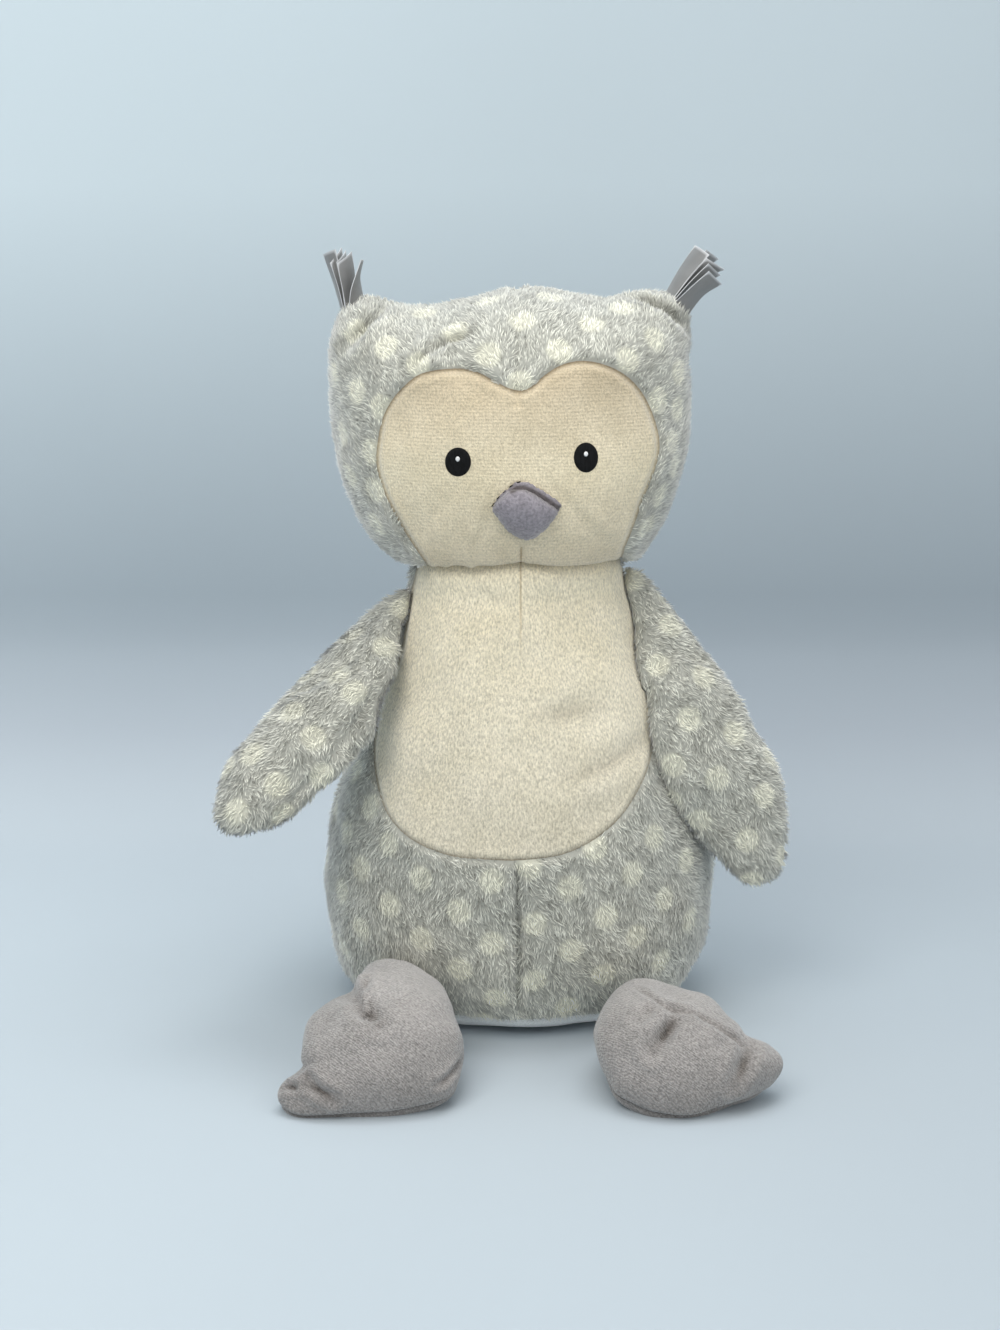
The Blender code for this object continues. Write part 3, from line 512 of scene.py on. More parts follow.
def fit_outline(form, outline, centre, inset, rounds=2):
    """Moves a form sideways to the view until its edge follows an outline in the picture."""
    loop = np.array(outline, float)
    centre = np.array(centre, float)
    bins = 180
    closed = np.linalg.norm(loop[0] - loop[-1]) < 60
    offset = smooth_path(outline + outline[:1] if closed else outline, 24) - centre
    turn = ((np.arctan2(offset[:, 1], offset[:, 0]) / (2 * math.pi)) % 1 * bins).astype(int) % bins
    wanted = np.zeros(bins)
    np.maximum.at(wanted, turn, np.linalg.norm(offset, axis=1) - inset)
    for _ in range(rounds):
        points = points_of(form.data)
        pixels, depth = project(points)
        away = pixels - centre
        angle = (np.arctan2(away[:, 1], away[:, 0]) / (2 * math.pi)) % 1 * bins
        reach = np.zeros(bins)
        np.maximum.at(reach, angle.astype(int) % bins, np.linalg.norm(away, axis=1))
        share = np.where((wanted > 0) & (reach > 0), wanted / np.maximum(reach, 1), 1.0)
        wide = np.exp(-(np.arange(-6, 7) / 1.6) ** 2)
        share = np.convolve(np.concatenate((share[-6:], share, share[:6])), wide / wide.sum(), "valid")
        at = np.interp(angle - 0.5, np.arange(-1, bins + 1), np.concatenate((share[-1:], share, share[:1])))
        set_points(form.data, unproject(centre + away * at[:, None], depth))


def distance_to_path(points, path):
    """Distance of each point from a chain of straight stretches."""
    nearest = np.full(len(points), np.inf)
    for a, b in zip(path[:-1], path[1:]):
        along = b - a
        share = np.clip((points - a) @ along / max(along @ along, 1e-12), 0, 1)
        nearest = np.minimum(nearest, np.linalg.norm(points - a - share[:, None] * along, axis=1))
    return nearest


def smooth_path(path, count=8):
    """Points on a rounded line through the given ones."""
    path = np.array(path, float)
    if len(path) < 3:
        return path
    ends = np.concatenate(([2 * path[0] - path[1]], path, [2 * path[-1] - path[-2]]))
    out = []
    for a, b, c, d in zip(ends[:-3], ends[1:-2], ends[2:-1], ends[3:]):
        for t in np.linspace(0, 1, count, endpoint=False):
            out.append(
                0.5 * (2 * b + (c - a) * t + (2 * a - 5 * b + 4 * c - d) * t**2 + (3 * b - a - 3 * c + d) * t**3)
            )
    return np.array(out + [path[-1]])


def press(form, distance, depth=0.0016, width=0.0016):
    """Draws the surface in along a line, with a slight swell on each side."""
    fall = depth * np.exp(-((distance / width) ** 2))
    swell = 0.25 * depth * np.exp(-(((distance - 2.2 * width) / width) ** 2))
    points = points_of(form.data)
    set_points(form.data, points - (fall - swell)[:, None] * normals_of(form.data))


def crease(form, creases):
    """Draws the surface in along each path, and gives the paths for the cloth's painted shade."""
    tree = tree_of(form.data)
    paths = []
    for pixels, depth, width in creases:
        path = seen_on(tree, smooth_path(pixels, 4))
        if len(path) < 2:
            continue
        points = points_of(form.data)
        taper = np.ones(len(points))
        for end in (path[0], path[-1]):
            taper *= 1 - 0.8 * np.exp(-((np.linalg.norm(points - end, axis=1) / (2 * width)) ** 2))
        press(form, distance_to_path(points, path), depth * taper, width)
        paths.append((path, depth, width))
    return paths


def fold_share(points, paths):
    """How deep in a crease each point lies, from 0 to 1."""
    share = np.zeros(len(points))
    pixels, depths = project(points)
    for path, depth, width in paths:
        line, _ = project(path)
        away = distance_to_path(pixels, line) * depths / FOCAL_PIXELS
        reach = np.exp(-((away / (0.7 * width)) ** 2))
        reach[distance_to_path(points, path) > depth + 2.5 * width] = 0
        for end in (line[0], line[-1]):
            gone = np.linalg.norm(pixels - end, axis=1) * depths / FOCAL_PIXELS
            reach *= 1 - 0.7 * np.exp(-((gone / (1.5 * width)) ** 2))
        share = np.maximum(share, reach * min(1.0, depth / 0.0040))
    return share


def crumple(form, amount, size, seed):
    """Soft unevenness of the stuffing under the cloth."""
    points = points_of(form.data)
    total = waves(points, size, seed, 14, 0.7, 1.5)
    total *= amount / math.sqrt(7)
    set_points(form.data, points + total[:, None] * normals_of(form.data))


def keep_clear(form, other, least, pivot=None, swing=0.0):
    """Moves points of a form that lie inside another, or too near it, back to its surface, with room for a swing."""
    tree = tree_of(other.data)
    points = points_of(form.data)
    for index, point in enumerate(points):
        place, normal, _, distance = tree.find_nearest(Vector(point), 0.03)
        if place is None:
            continue
        gap = least if pivot is None else least + swing * float(np.linalg.norm(point - pivot))
        height = (Vector(point) - place).dot(normal)
        if height < gap and (height < 0 or distance < gap):
            points[index] = place + gap * normal
    set_points(form.data, points)


# Covers
def prism(name, loop, front, back):
    """A closed outline in XZ, carried from y = front to y = back."""
    shape = bmesh.new()
    ring = [shape.verts.new((x, front, z)) for x, z in loop]
    face = shape.faces.new(ring)
    grown = bmesh.ops.extrude_face_region(shape, geom=[face])["geom"]
    moved = [item for item in grown if isinstance(item, bmesh.types.BMVert)]
    bmesh.ops.translate(shape, verts=moved, vec=(0, back - front, 0))
    bmesh.ops.triangulate(shape, faces=shape.faces)
    bmesh.ops.recalc_face_normals(shape, faces=shape.faces)
    return object_of(name, shape)


def block(name, low, high):
    low, high = np.array(low), np.array(high)
    loop = [(low[0], low[2]), (high[0], low[2]), (high[0], high[2]), (low[0], high[2])]
    return prism(name, loop, low[1], high[1])


def cover_of(form):
    """The form's cloth: a closed shell under its surface."""
    shell = link(form.name + "_cover", form.data.copy())
    solid = shell.modifiers.new("Cloth", "SOLIDIFY")
    solid.thickness = COVER
    solid.offset = -1
    apply_modifiers(shell)
    return shell


def cut_piece(name, shell, steps):
    piece = link(name, shell.data.copy())
    for cutter, operation in steps:
        cut = piece.modifiers.new(cutter.name, "BOOLEAN")
        cut.solver = "MANIFOLD"
        cut.operation = operation
        cut.object = cutter
    apply_modifiers(piece)
    piece.data.materials.clear()
    only(piece)
    bpy.ops.object.shade_smooth_by_angle(angle=math.radians(50))
    return piece


def inside(loop, x, z):
    """Whether each place lies within a closed outline."""
    within = np.zeros(len(x), bool)
    for (x0, z0), (x1, z1) in zip(loop, np.roll(loop, -1, axis=0)):
        crossing = (z0 > z) != (z1 > z)
        within ^= crossing & (x < (x1 - x0) * (z - z0) / ((z1 - z0) or 1e-12) + x0)
    return within


def discard(*objs):
    for obj in objs:
        bpy.data.objects.remove(obj, do_unlink=True)


# Dots
def dots_on(form, pixels, centre):
    """Dots where the picture shows them, and a staggered lattice of the same pitch elsewhere."""
    tree = tree_of(form.data)
    points = points_of(form.data)
    low, high = points[:, 2].min(), points[:, 2].max()
    rest = []
    for row, level in enumerate(np.arange(low - DOT_PITCH, high + DOT_PITCH, DOT_PITCH / 2)):
        band = points[np.abs(points[:, 2] - level) < 0.004]
        if len(band) < 4:
            continue
        radius = np.linalg.norm(band[:, :2] - centre[:2], axis=1).mean()
        count = max(1, round(2 * math.pi * radius / (2 * DOT_COLUMN)))
        for column in range(count):
            turn = 2 * math.pi * (column + 0.5 * (row % 2)) / count
            way = Vector((math.sin(turn), math.cos(turn), 0))
            place, _, _, _ = tree.ray_cast(Vector((centre[0], centre[1], level)) + way, -way)
            if place is not None:
                rest.append(np.array(place))
    kept = list(seen_on(tree, pixels))
    for place in rest:
        sight = (place - EYE_POINT) / np.linalg.norm(place - EYE_POINT)
        _, normal, _, _ = tree.find_nearest(Vector(place))
        if normal.dot(Vector(sight)) < -0.10:
            continue
        if all(np.linalg.norm(place - other) > 0.9 * DOT_COLUMN for other in kept):
            kept.append(place)
    return np.array(kept)


def dot_share(points, centres):
    """1 inside a dot and 0 outside it, with a soft edge."""
    tree = KDTree(len(centres))
    for index, centre in enumerate(centres):
        tree.insert(centre, index)
    tree.balance()
    reach = np.array([tree.find(point)[2] for point in points]) / DOT_RADIUS
    return np.clip((1.14 - reach) / 0.28, 0, 1)


def follow(piece, body):
    """Rides on one body; given two bodies and two places, it keeps its place with its transform baked into its mesh."""
    if isinstance(body, str):
        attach(piece, body)
    else:
        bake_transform(piece)


# Pile
def scatter(form, chosen, density, seed):
    """Roots spread evenly by area over the chosen faces: places, normals and random shares."""
    mesh = form.data
    mesh.calc_loop_triangles()
    corners = np.empty(len(mesh.loop_triangles) * 3, np.int32)
    mesh.loop_triangles.foreach_get("vertices", corners)
    corners = corners.reshape(-1, 3)
    points, normals = points_of(mesh), normals_of(mesh)
    middle = points[corners].mean(axis=1)
    corners = corners[chosen(middle)]
    a, b, c = points[corners[:, 0]], points[corners[:, 1]], points[corners[:, 2]]
    area = np.linalg.norm(np.cross(b - a, c - a), axis=1) / 2
    random = np.random.default_rng(seed)
    count = int(area.sum() * 1e6 * density)
    pick = np.searchsorted(np.cumsum(area) / area.sum(), (np.arange(count) + random.random(count)) / count)
    pick = np.minimum(pick, len(corners) - 1)
    s, t = random.random(count), random.random(count)
    s, t = np.where(s + t > 1, 1 - s, s), np.where(s + t > 1, 1 - t, t)
    na, nb, nc = (normals[corners[:, k]][pick] for k in range(3))
    a, b, c = a[pick], b[pick], c[pick]
    place = a + s[:, None] * (b - a) + t[:, None] * (c - a)
    normal = na + s[:, None] * (nb - na) + t[:, None] * (nc - na)
    normal /= np.maximum(np.linalg.norm(normal, axis=1, keepdims=True), 1e-9)
    return place, normal, random


def field(points, size, seed):
    """A smooth random value, about -1 to 1, at each point."""
    return waves(points, size, seed, 10, 0.6, 1.6) / math.sqrt(10)


def pile(name, form, chosen, nap, body, dots, folds, seed, length=PILE, clumping=0.0006):
    """Short locks of fibre lying along the nap, each a slim closed spike."""
    density, width = ((PILE_DENSITY, PILE_WIDTH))
    root, normal, random = scatter(form, chosen, density, seed)
    count = len(root)
    flow = np.broadcast_to(np.array(nap, float), root.shape).copy()
    flow -= (flow * normal).sum(axis=1, keepdims=True) * normal
    flow /= np.maximum(np.linalg.norm(flow, axis=1, keepdims=True), 1e-6)
    across = np.cross(normal, flow)
    swirl = 0.50 * field(root, 0.030, seed + 1) + 0.45 * field(root, 0.0060, seed + 2)
    swirl += 0.22 * random.normal(size=count)
    way = np.cos(swirl)[:, None] * flow + np.sin(swirl)[:, None] * across
    side = np.cross(normal, way)
    lean = 1.16 + 0.13 * field(root, 0.010, seed + 3) + 0.10 * random.normal(size=count)
    lean = np.clip(lean, 0.5, 1.38)
    reach = length * (0.8 + 0.4 * random.random(count))
    tip = root + reach[:, None] * (np.sin(lean)[:, None] * way + np.cos(lean)[:, None] * normal)
    clump = np.stack([field(root, 0.0034, seed + k) for k in (4, 5, 6)], axis=1)
    clump -= (clump * normal).sum(axis=1, keepdims=True) * normal
    tip += clumping * clump
    half = width / 2 * (0.75 + 0.5 * random.random(count))[:, None]
    sunk = root - 0.0003 * normal
    left = sunk - half * side
    right = sunk + half * side
    back = sunk + 0.7 * half * normal - 0.6 * half * way
    corners = np.stack((left, right, back, tip), axis=1).reshape(-1, 3)
    faces = np.array(((0, 1, 3), (1, 2, 3), (2, 0, 3), (0, 2, 1)))
    faces = (np.arange(count)[:, None, None] * 4 + faces).reshape(-1, 3)
    mesh = bpy.data.meshes.new(name)
    mesh.vertices.add(len(corners))
    mesh.loops.add(len(faces) * 3)
    mesh.polygons.add(len(faces))
    mesh.vertices.foreach_set("co", corners.astype(np.float32).ravel())
    mesh.loops.foreach_set("vertex_index", faces.astype(np.int32).ravel())
    mesh.polygons.foreach_set("loop_start", np.arange(0, len(faces) * 3, 3, dtype=np.int32))
    mesh.update(calc_edges=True)
    mesh.polygons.foreach_set("use_smooth", np.ones(len(faces), bool))
    shade = 0.5 + 0.12 * field(root, 0.009, seed + 7) + 0.30 * random.normal(size=count)
    store(mesh, "shade", np.repeat(shade, 4))
    # Painted shade on the strands that stand in creases
    store(mesh, "crease_shade", np.repeat(fold_share(root, folds), 4))
    store(mesh, "tip", np.tile((0.0, 0.0, 0.0, 1.0), count))
    low, high = (dot_share(root + share * (tip - root), dots) for share in (0.15, 0.8))
    store(mesh, "dot", np.stack((low, low, low, high), axis=1).ravel())
    facing = np.stack((normal - 0.25 * side, normal + 0.25 * side, normal, normal + 0.1 * way), axis=1)
    facing = facing.reshape(-1, 3)
    facing /= np.linalg.norm(facing, axis=1, keepdims=True)
    mesh.normals_split_custom_set_from_vertices(facing.tolist())
    made = link(name, mesh)
    made.data.materials.append(FINISHES["dotted_grey_plush_pile"])
    follow(made, body)


# Materials
WHITE = (1.0, 1.0, 1.0)
BLACK = (0.0, 0.0, 0.0)


def nodes_for(name):
    made = bpy.data.materials.new(name)
    made.use_nodes = True
    tree = made.node_tree
    return made, tree, tree.nodes["Principled BSDF"]


def wire(tree, made, inputs):
    """Joins each input to another node's output, or sets it to a number, a colour or a vector. Gives the outputs."""
    for name, value in inputs.items():
        socket = made.inputs[name]
        if isinstance(value, bpy.types.NodeSocket):
            tree.links.new(value, socket)
        elif socket.type == "RGBA":
            socket.default_value = (*value, 1)
        else:
            socket.default_value = value
    return made.outputs


def shader(tree, kind, inputs):
    return wire(tree, tree.nodes.new(f"ShaderNode{kind}"), inputs)


def place_in(tree):
    return shader(tree, "TexCoord", {})["Object"]


def axis_of(tree, axis):
    return shader(tree, "SeparateXYZ", {0: place_in(tree)})[axis]


def attribute(tree, name):
    made = tree.nodes.new("ShaderNodeAttribute")
    made.attribute_name = name
    return made.outputs["Fac"]


def math_of(tree, operation, *values):
    made = tree.nodes.new("ShaderNodeMath")
    made.operation = operation
    return wire(tree, made, dict(enumerate(values)))[0]


def between(tree, value, start, end):
    """0 where a value is at the start, rising to 1 where it is at the end."""
    return shader(tree, "MapRange", {"Value": value, "From Min": start, "From Max": end})[0]


def noise(tree, scale, detail, stretch=None, roughness=0.5):
    place = place_in(tree)
    if stretch:
        place = shader(tree, "Mapping", {"Vector": place, "Scale": stretch})["Vector"]
    inputs = {"Vector": place, "Scale": scale, "Detail": detail, "Roughness": roughness}
    return shader(tree, "TexNoise", inputs)["Fac"]


def ramp(tree, value, stops):
    made = tree.nodes.new("ShaderNodeValToRGB")
    while len(made.color_ramp.elements) < len(stops):
        made.color_ramp.elements.new(0.5)
    for element, (place, colour) in zip(made.color_ramp.elements, stops):
        element.position = place
        element.color = (*colour, 1)
    return wire(tree, made, {"Fac": value})["Color"]


def mix(tree, factor, first, second, blend="MIX"):
    made = tree.nodes.new("ShaderNodeMix")
    made.data_type = "RGBA"
    made.blend_type = blend
    return wire(tree, made, {0: factor, 6: first, 7: second})[2]


def times(tree, first, second):
    return mix(tree, 1.0, first, second, "MULTIPLY")


def darkened(tree, share, colour, tone):
    """A colour that is multiplied by a tone as far as the share goes."""
    return mix(tree, share, colour, times(tree, colour, tone))


def bump(tree, height, strength, distance):
    return shader(tree, "Bump", {"Strength": strength, "Distance": distance, "Height": height})["Normal"]


def by_height(tree, low, high, tones):
    """Tones that follow the height above the floor."""
    return ramp(tree, between(tree, axis_of(tree, "Z"), low, high), tones)


def grey_plush(name, under):
    made, tree, surface = nodes_for(name)
    grey = ramp(tree, noise(tree, 120, 3), [(0.3, (0.54, 0.54, 0.475)), (0.7, (0.64, 0.64, 0.565))])
    colour = mix(tree, attribute(tree, "dot"), grey, (0.88, 0.87, 0.72))
    # The backing under the pile is darkened all over with painted shade
    if under:
        colour = times(tree, colour, (0.66, 0.66, 0.66))
    else:
        shades = [(0.0, (0.46, 0.46, 0.45)), (0.5, WHITE), (1.0, (1.46, 1.46, 1.46))]
        calm = math_of(tree, "MULTIPLY_ADD", attribute(tree, "dot"), -0.5, 1.0)
        colour = mix(tree, calm, colour, ramp(tree, attribute(tree, "shade"), shades), "MULTIPLY")
        # Painted shade at the roots of the locks and painted light at their tips
        painted_root_shade = [(0.0, (0.42, 0.42, 0.41)), (0.6, (1.16, 1.16, 1.16))]
        colour = times(tree, colour, ramp(tree, attribute(tree, "tip"), painted_root_shade))
    # Painted shade in creases and along seams
    colour = darkened(tree, attribute(tree, "crease_shade"), colour, (0.35, 0.35, 0.33))
    # Painted light: the lowest 7 cm are lighter, against the shade near the floor
    colour = times(tree, colour, by_height(tree, 0.0, 0.07, [(0.0, (1.30, 1.29, 1.28)), (1.0, WHITE)]))
    wire(tree, surface, {
        "Base Color": colour, "Roughness": 0.75, "Sheen Weight": 0.9, "Sheen Roughness": 0.5,
        "Specular IOR Level": 0.25,
    })
    return made


def stitched_line(tree, aside, low, high):
    """1 along a short upright seam, given where it stands and its ends, and 0 elsewhere."""
    away = math_of(tree, "ABSOLUTE", math_of(tree, "SUBTRACT", axis_of(tree, "X"), aside))
    near = between(tree, away, STITCH_HALF, 0.2 * STITCH_HALF)
    fade = by_height(tree, low, high, [(0.0, BLACK), (0.4, (0.8, 0.8, 0.8)), (0.98, WHITE), (1.0, BLACK)])
    return math_of(tree, "MULTIPLY", near, fade)


def velour(
    name, dark, light, grain=900.0, nap=(1.0, 1.0, 1.6), contrast=0.13, strength=0.5, line=None, rows=None, tones=None
):
    """Short dense velour: soft mottling, a fine streaky nap, and rows given by their way, scale, unrest and depth, with
    painted light and shade that follow the height and painted shade in creases and seams.
    """
    made, tree, surface = nodes_for(name)
    height = noise(tree, grain, 3, nap, 0.6)
    streaks = ramp(tree, height, [(0.3, (1 - contrast * 1.3,) * 3), (0.7, (1 + contrast,) * 3)])
    colour = times(tree, ramp(tree, noise(tree, 60, 4), [(0.3, dark), (0.7, light)]), streaks)
    if rows:
        way, scale, unrest, depth = rows
        bands = tree.nodes.new("ShaderNodeTexWave")
        bands.bands_direction = way
        inputs = {"Vector": place_in(tree), "Scale": scale, "Distortion": unrest, "Detail": 4, "Detail Scale": 0.8}
        wave = wire(tree, bands, inputs)["Fac"]
        colour = times(tree, colour, ramp(tree, wave, [(0.0, (1 - depth,) * 3), (1.0, (1 + depth / 2,) * 3)]))
        height = math_of(tree, "MULTIPLY_ADD", wave, 2.2 * depth, height)
    # Painted light and shade that follow the height above the floor
    if tones:
        colour = times(tree, colour, by_height(tree, *tones))
    # Painted shade in creases and along seams
    colour = darkened(tree, attribute(tree, "crease_shade"), colour, (0.40, 0.37, 0.34))
    if line:
        colour = darkened(tree, stitched_line(tree, *line), colour, (0.66, 0.60, 0.52))
    wire(tree, surface, {
        "Base Color": colour, "Normal": bump(tree, height, strength, 0.0006), "Roughness": 0.85,
        "Sheen Weight": 0.5, "Sheen Roughness": 0.45, "Specular IOR Level": 0.2,
    })
    return made


def satin(name):
    made, tree, surface = nodes_for(name)
    colour = ramp(tree, noise(tree, 90, 2), [(0.3, (0.18, 0.18, 0.178)), (0.7, (0.235, 0.235, 0.23))])
    cut = ramp(tree, attribute(tree, "edge"), [(0.95, BLACK), (1.0, WHITE)])
    weave = noise(tree, 2600, 1, (1.0, 1.0, 0.15))
    wire(tree, surface, {
        "Base Color": mix(tree, cut, colour, (0.60, 0.61, 0.62)), "Normal": bump(tree, weave, 0.2, 0.0001),
        "Roughness": 0.38, "Anisotropic": 0.5, "Sheen Weight": 0.2,
    })
    return made


def thread(name, dark, light, roughness):
    made, tree, surface = nodes_for(name)
    colour = ramp(tree, noise(tree, 1500, 2, (1.0, 1.0, 0.25)), [(0.3, dark), (0.7, light)])
    twist = noise(tree, 2200, 1, (1.0, 1.0, 0.2))
    wire(tree, surface, {
        "Base Color": colour, "Normal": bump(tree, twist, 0.5, 0.0003), "Roughness": roughness,
        "Specular IOR Level": 0.15,
    })
    return made


FINISHES = {
    # The backing has painted shade under the pile; the pile has painted shade at its roots and painted light at its
    # tips
    "dotted_grey_plush": grey_plush("dotted_grey_plush_backing", True),
    "dotted_grey_plush_pile": grey_plush("dotted_grey_plush_pile", False),
    "cream_velour": velour(
        "cream_velour", (0.71, 0.65, 0.50), (0.77, 0.71, 0.565), 1400, (1.0, 1.0, 0.45), 0.27, 1.0,
        line=(0.001, 0.155, 0.2),
        # tones: painted light, the belly lighter higher up
        tones=(0.09, 0.19, [(0.0, (0.88, 0.88, 0.88)), (0.35, WHITE), (1.0, (1.12, 1.10, 1.05))]),
    ),
    "beige_velour": velour(
        "beige_velour", (0.68, 0.60, 0.435), (0.76, 0.68, 0.51), 1500, (1.0, 1.0, 0.6), 0.19, 0.9,
        line=(0.0011, 0.175, 0.2015),
        rows=("Z", 250, 1.2, 0.05),
        # tones: painted shade at the chin and under the forehead, painted light between them
        tones=(0.185, 0.265, [
            (0.0, (0.84, 0.82, 0.81)), (0.3, (1.02, 1.01, 1.0)), (0.55, (1.14, 1.13, 1.10)),
            (0.8, (1.0, 0.97, 0.94)), (1.0, (0.84, 0.79, 0.74)),
        ]),
    ),
    "pale_base_cloth": velour("pale_base_cloth", (0.90, 0.92, 0.91), (0.96, 0.98, 0.97), 1400),
    "mauve_velour": velour(
        "mauve_velour", (0.33, 0.312, 0.298), (0.39, 0.367, 0.352), 1100, (1.0, 1.0, 1.0), 0.30, 1.0,
        rows=("DIAGONAL", 420, 9.0, 0.12),
        # tones: painted light, the feet lighter higher up
        tones=(0.0, 0.065, [(0.0, (0.80, 0.80, 0.80)), (0.5, (0.97, 0.97, 0.97)), (1.0, (1.35, 1.35, 1.35))]),
    ),
    "mauve_felt": velour("mauve_felt", (0.245, 0.226, 0.25), (0.295, 0.272, 0.298), 900, (1.0, 1.0, 1.0), 0.26, 0.8),
    "grey_satin": satin("grey_satin"),
    "black_thread": thread("black_thread", (0.004, 0.004, 0.004), (0.010, 0.010, 0.011), 0.8),
    "white_thread": thread("white_thread", (0.75, 0.75, 0.75), (0.9, 0.9, 0.9), 0.5),
    "white_fibre": velour("white_fibre", (0.8, 0.8, 0.78), (0.88, 0.88, 0.86), 500, (1.0, 1.0, 0.5)),
}


def mark_crease_shade(piece, folds, distance=None):
    """Painted shade where the cloth lies in a crease, or where a seam draws it in."""
    points = points_of(piece.data)
    share = fold_share(points, folds)
    if distance is not None:
        share = np.maximum(share, 0.9 * np.exp(-((distance(points) / 0.0008) ** 2)))
    store(piece.data, "crease_shade", share)


def dress(piece, slot, body, nodes=()):
    piece.data.materials.clear()
    piece.data.materials.append(FINISHES[slot])
    follow(piece, body)
    if nodes:
        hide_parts(*nodes)


def dress_plush(piece, body, dots, folds, node):
    """Dotted plush on a piece that stands for one CAD node."""
    store(piece.data, "dot", dot_share(points_of(piece.data), dots))
    mark_crease_shade(piece, folds)
    dress(piece, "dotted_grey_plush", body, [node])


# Forms, swollen and fitted
body = stuffed("body_form", ("body_stuffing", "neck_stuffing", "pellet_bag", "pellet_fill"), 0.0050)
head = stuffed("head_form", ("head_stuffing",), 0.0045)
wings = {side: stuffed(f"{side}_wing_form", (f"{side}_wing_stuffing",), 0.0038) for side, _ in SIDES}
feet = {
    side: foot_form(f"{side}_foot_form", outline, FOOT_CENTRES[side])
    for side, outline in (("left", LEFT_FOOT_OUTLINE), ("right", RIGHT_FOOT_OUTLINE))
}
blow_up([body, head, *wings.values(), *feet.values()], SKIN)
soften(body, 2)
soften(head, 2)
for form in (*wings.values(), *feet.values()):
    soften(form, 2, 2)
for form in wings.values():
    set_back(form, most=0.018, top=0.185, reach=0.035)

fit_outline(body, BODY_OUTLINE, (518, 860), PILE_PIXELS)
fit_outline(head, HEAD_OUTLINE, HEAD_CENTRE, PILE_PIXELS)
fit_outline(wings["left"], LEFT_WING_OUTLINE, (712, 745), PILE_PIXELS)
fit_outline(wings["right"], RIGHT_WING_OUTLINE, (312, 722), PILE_PIXELS)
fit_outline(feet["left"], LEFT_FOOT_OUTLINE, (678, 1056), VELOUR_PIXELS)
fit_outline(feet["right"], RIGHT_FOOT_OUTLINE, (372, 1045), VELOUR_PIXELS)
crumple(body, 0.0006, 0.045, 11)
crumple(head, 0.0004, 0.040, 12)
for form in wings.values():
    crumple(form, 0.0005, 0.030, 13)
for form in feet.values():
    crumple(form, 0.0003, 0.022, 14)


def onto_ball(form, radius, chosen):
    """Carries the chosen points of a form to a ball about the point that the head turns on."""
    points = points_of(form.data)
    away = points - NECK_POINT
    reach = np.linalg.norm(away, axis=1)
    moved = chosen(points, reach)
    points[moved] = NECK_POINT + away[moved] / reach[moved, None] * radius
    set_points(form.data, points)


def clear_neck(form, radius):
    """Keeps a form outside the ball that the head turns on."""
    onto_ball(form, radius, lambda points, reach: reach < radius)


def relax(form, chosen, rounds):
    """Evens out the chosen points of a form."""
    shape = bmesh.new()
    shape.from_mesh(form.data)
    shape.verts.ensure_lookup_table()
    verts = [shape.verts[int(index)] for index in np.flatnonzero(chosen)]
    for _ in range(rounds):
        bmesh.ops.smooth_vert(shape, verts=verts, factor=0.5, use_axis_x=True, use_axis_y=True, use_axis_z=True)
    shape.to_mesh(form.data)
    shape.free()


# Above the shoulders the body ends in that ball
onto_ball(body, NECK_RADIUS, lambda points, reach: (reach > NECK_RADIUS) & (points[:, 2] > SHOULDER_HEIGHT))
clear_neck(head, NECK_RADIUS + 0.0008)
for _ in range(9):
    relax(head, points_of(head.data)[:, 2] < UNDERSIDE_TOP, 8)
    clear_neck(head, NECK_RADIUS + 0.0020)
fit_outline(head, HEAD_OUTLINE, HEAD_CENTRE, PILE_PIXELS, 1)
relax(head, points_of(head.data)[:, 2] < UNDERSIDE_EDGE, 12)

body_folds = crease(body, BODY_CREASES)
head_folds = crease(head, HEAD_CREASES)
wing_folds = {
    side: crease(wings[side], creases) for side, creases in (("left", LEFT_WING_CREASES), ("right", RIGHT_WING_CREASES))
}
foot_folds = {
    side: crease(feet[side], creases) for side, creases in (("left", LEFT_FOOT_CREASES), ("right", RIGHT_FOOT_CREASES))
}

# Seams, drawn in before the covers are cut along them
body_tree = tree_of(body.data)
head_tree = tree_of(head.data)
belly_loop = seen_on(body_tree, smooth_path(BELLY_OUTLINE, 3))[:, (0, 2)]
face_loop = seen_on(head_tree, smooth_path(FACE_OUTLINE, 3))[:, (0, 2)]
belly_loop = np.concatenate((belly_loop, [(0.036, 0.215), (-0.036, 0.215)]))
face_loop = np.concatenate((face_loop, [(0.040, 0.176), (-0.036, 0.176)]))


def loop_distance(points, loop):
    """Distance of each point, seen from the front, from a closed outline."""
    flat = np.stack((points[:, 0], points[:, 2]), axis=1)
    return distance_to_path(flat, np.concatenate((loop, loop[:1])))


points = points_of(body.data)
front = points[:, 1] < 0
centre = np.abs(points[:, 0]) + 0.5 * np.maximum(0, BASE_SEAM_HEIGHT + 0.006 - points[:, 2])
press(body, np.where(front & (points[:, 2] > 0.080), 1.0, centre), 0.0010)
press(body, np.where(points[:, 2] < SHOULDER_HEIGHT, np.abs(points[:, 1]), 1.0))
press(body, np.where(front, loop_distance(points, belly_loop), 1.0), 0.0010, 0.0011)
press(body, np.abs(points[:, 2] - BASE_SEAM_HEIGHT), 0.0012, 0.0012)
points = points_of(head.data)
front = points[:, 1] < 0
centre = np.where(front & (points[:, 2] < 0.255), 1.0, np.abs(points[:, 0] - np.where(front, -0.0006, 0)))
press(head, centre, 0.0012)
press(head, np.abs(points[:, 1]), 0.0012)
press(head, np.where(front, loop_distance(points, face_loop), 1.0), 0.0014, 0.0014)

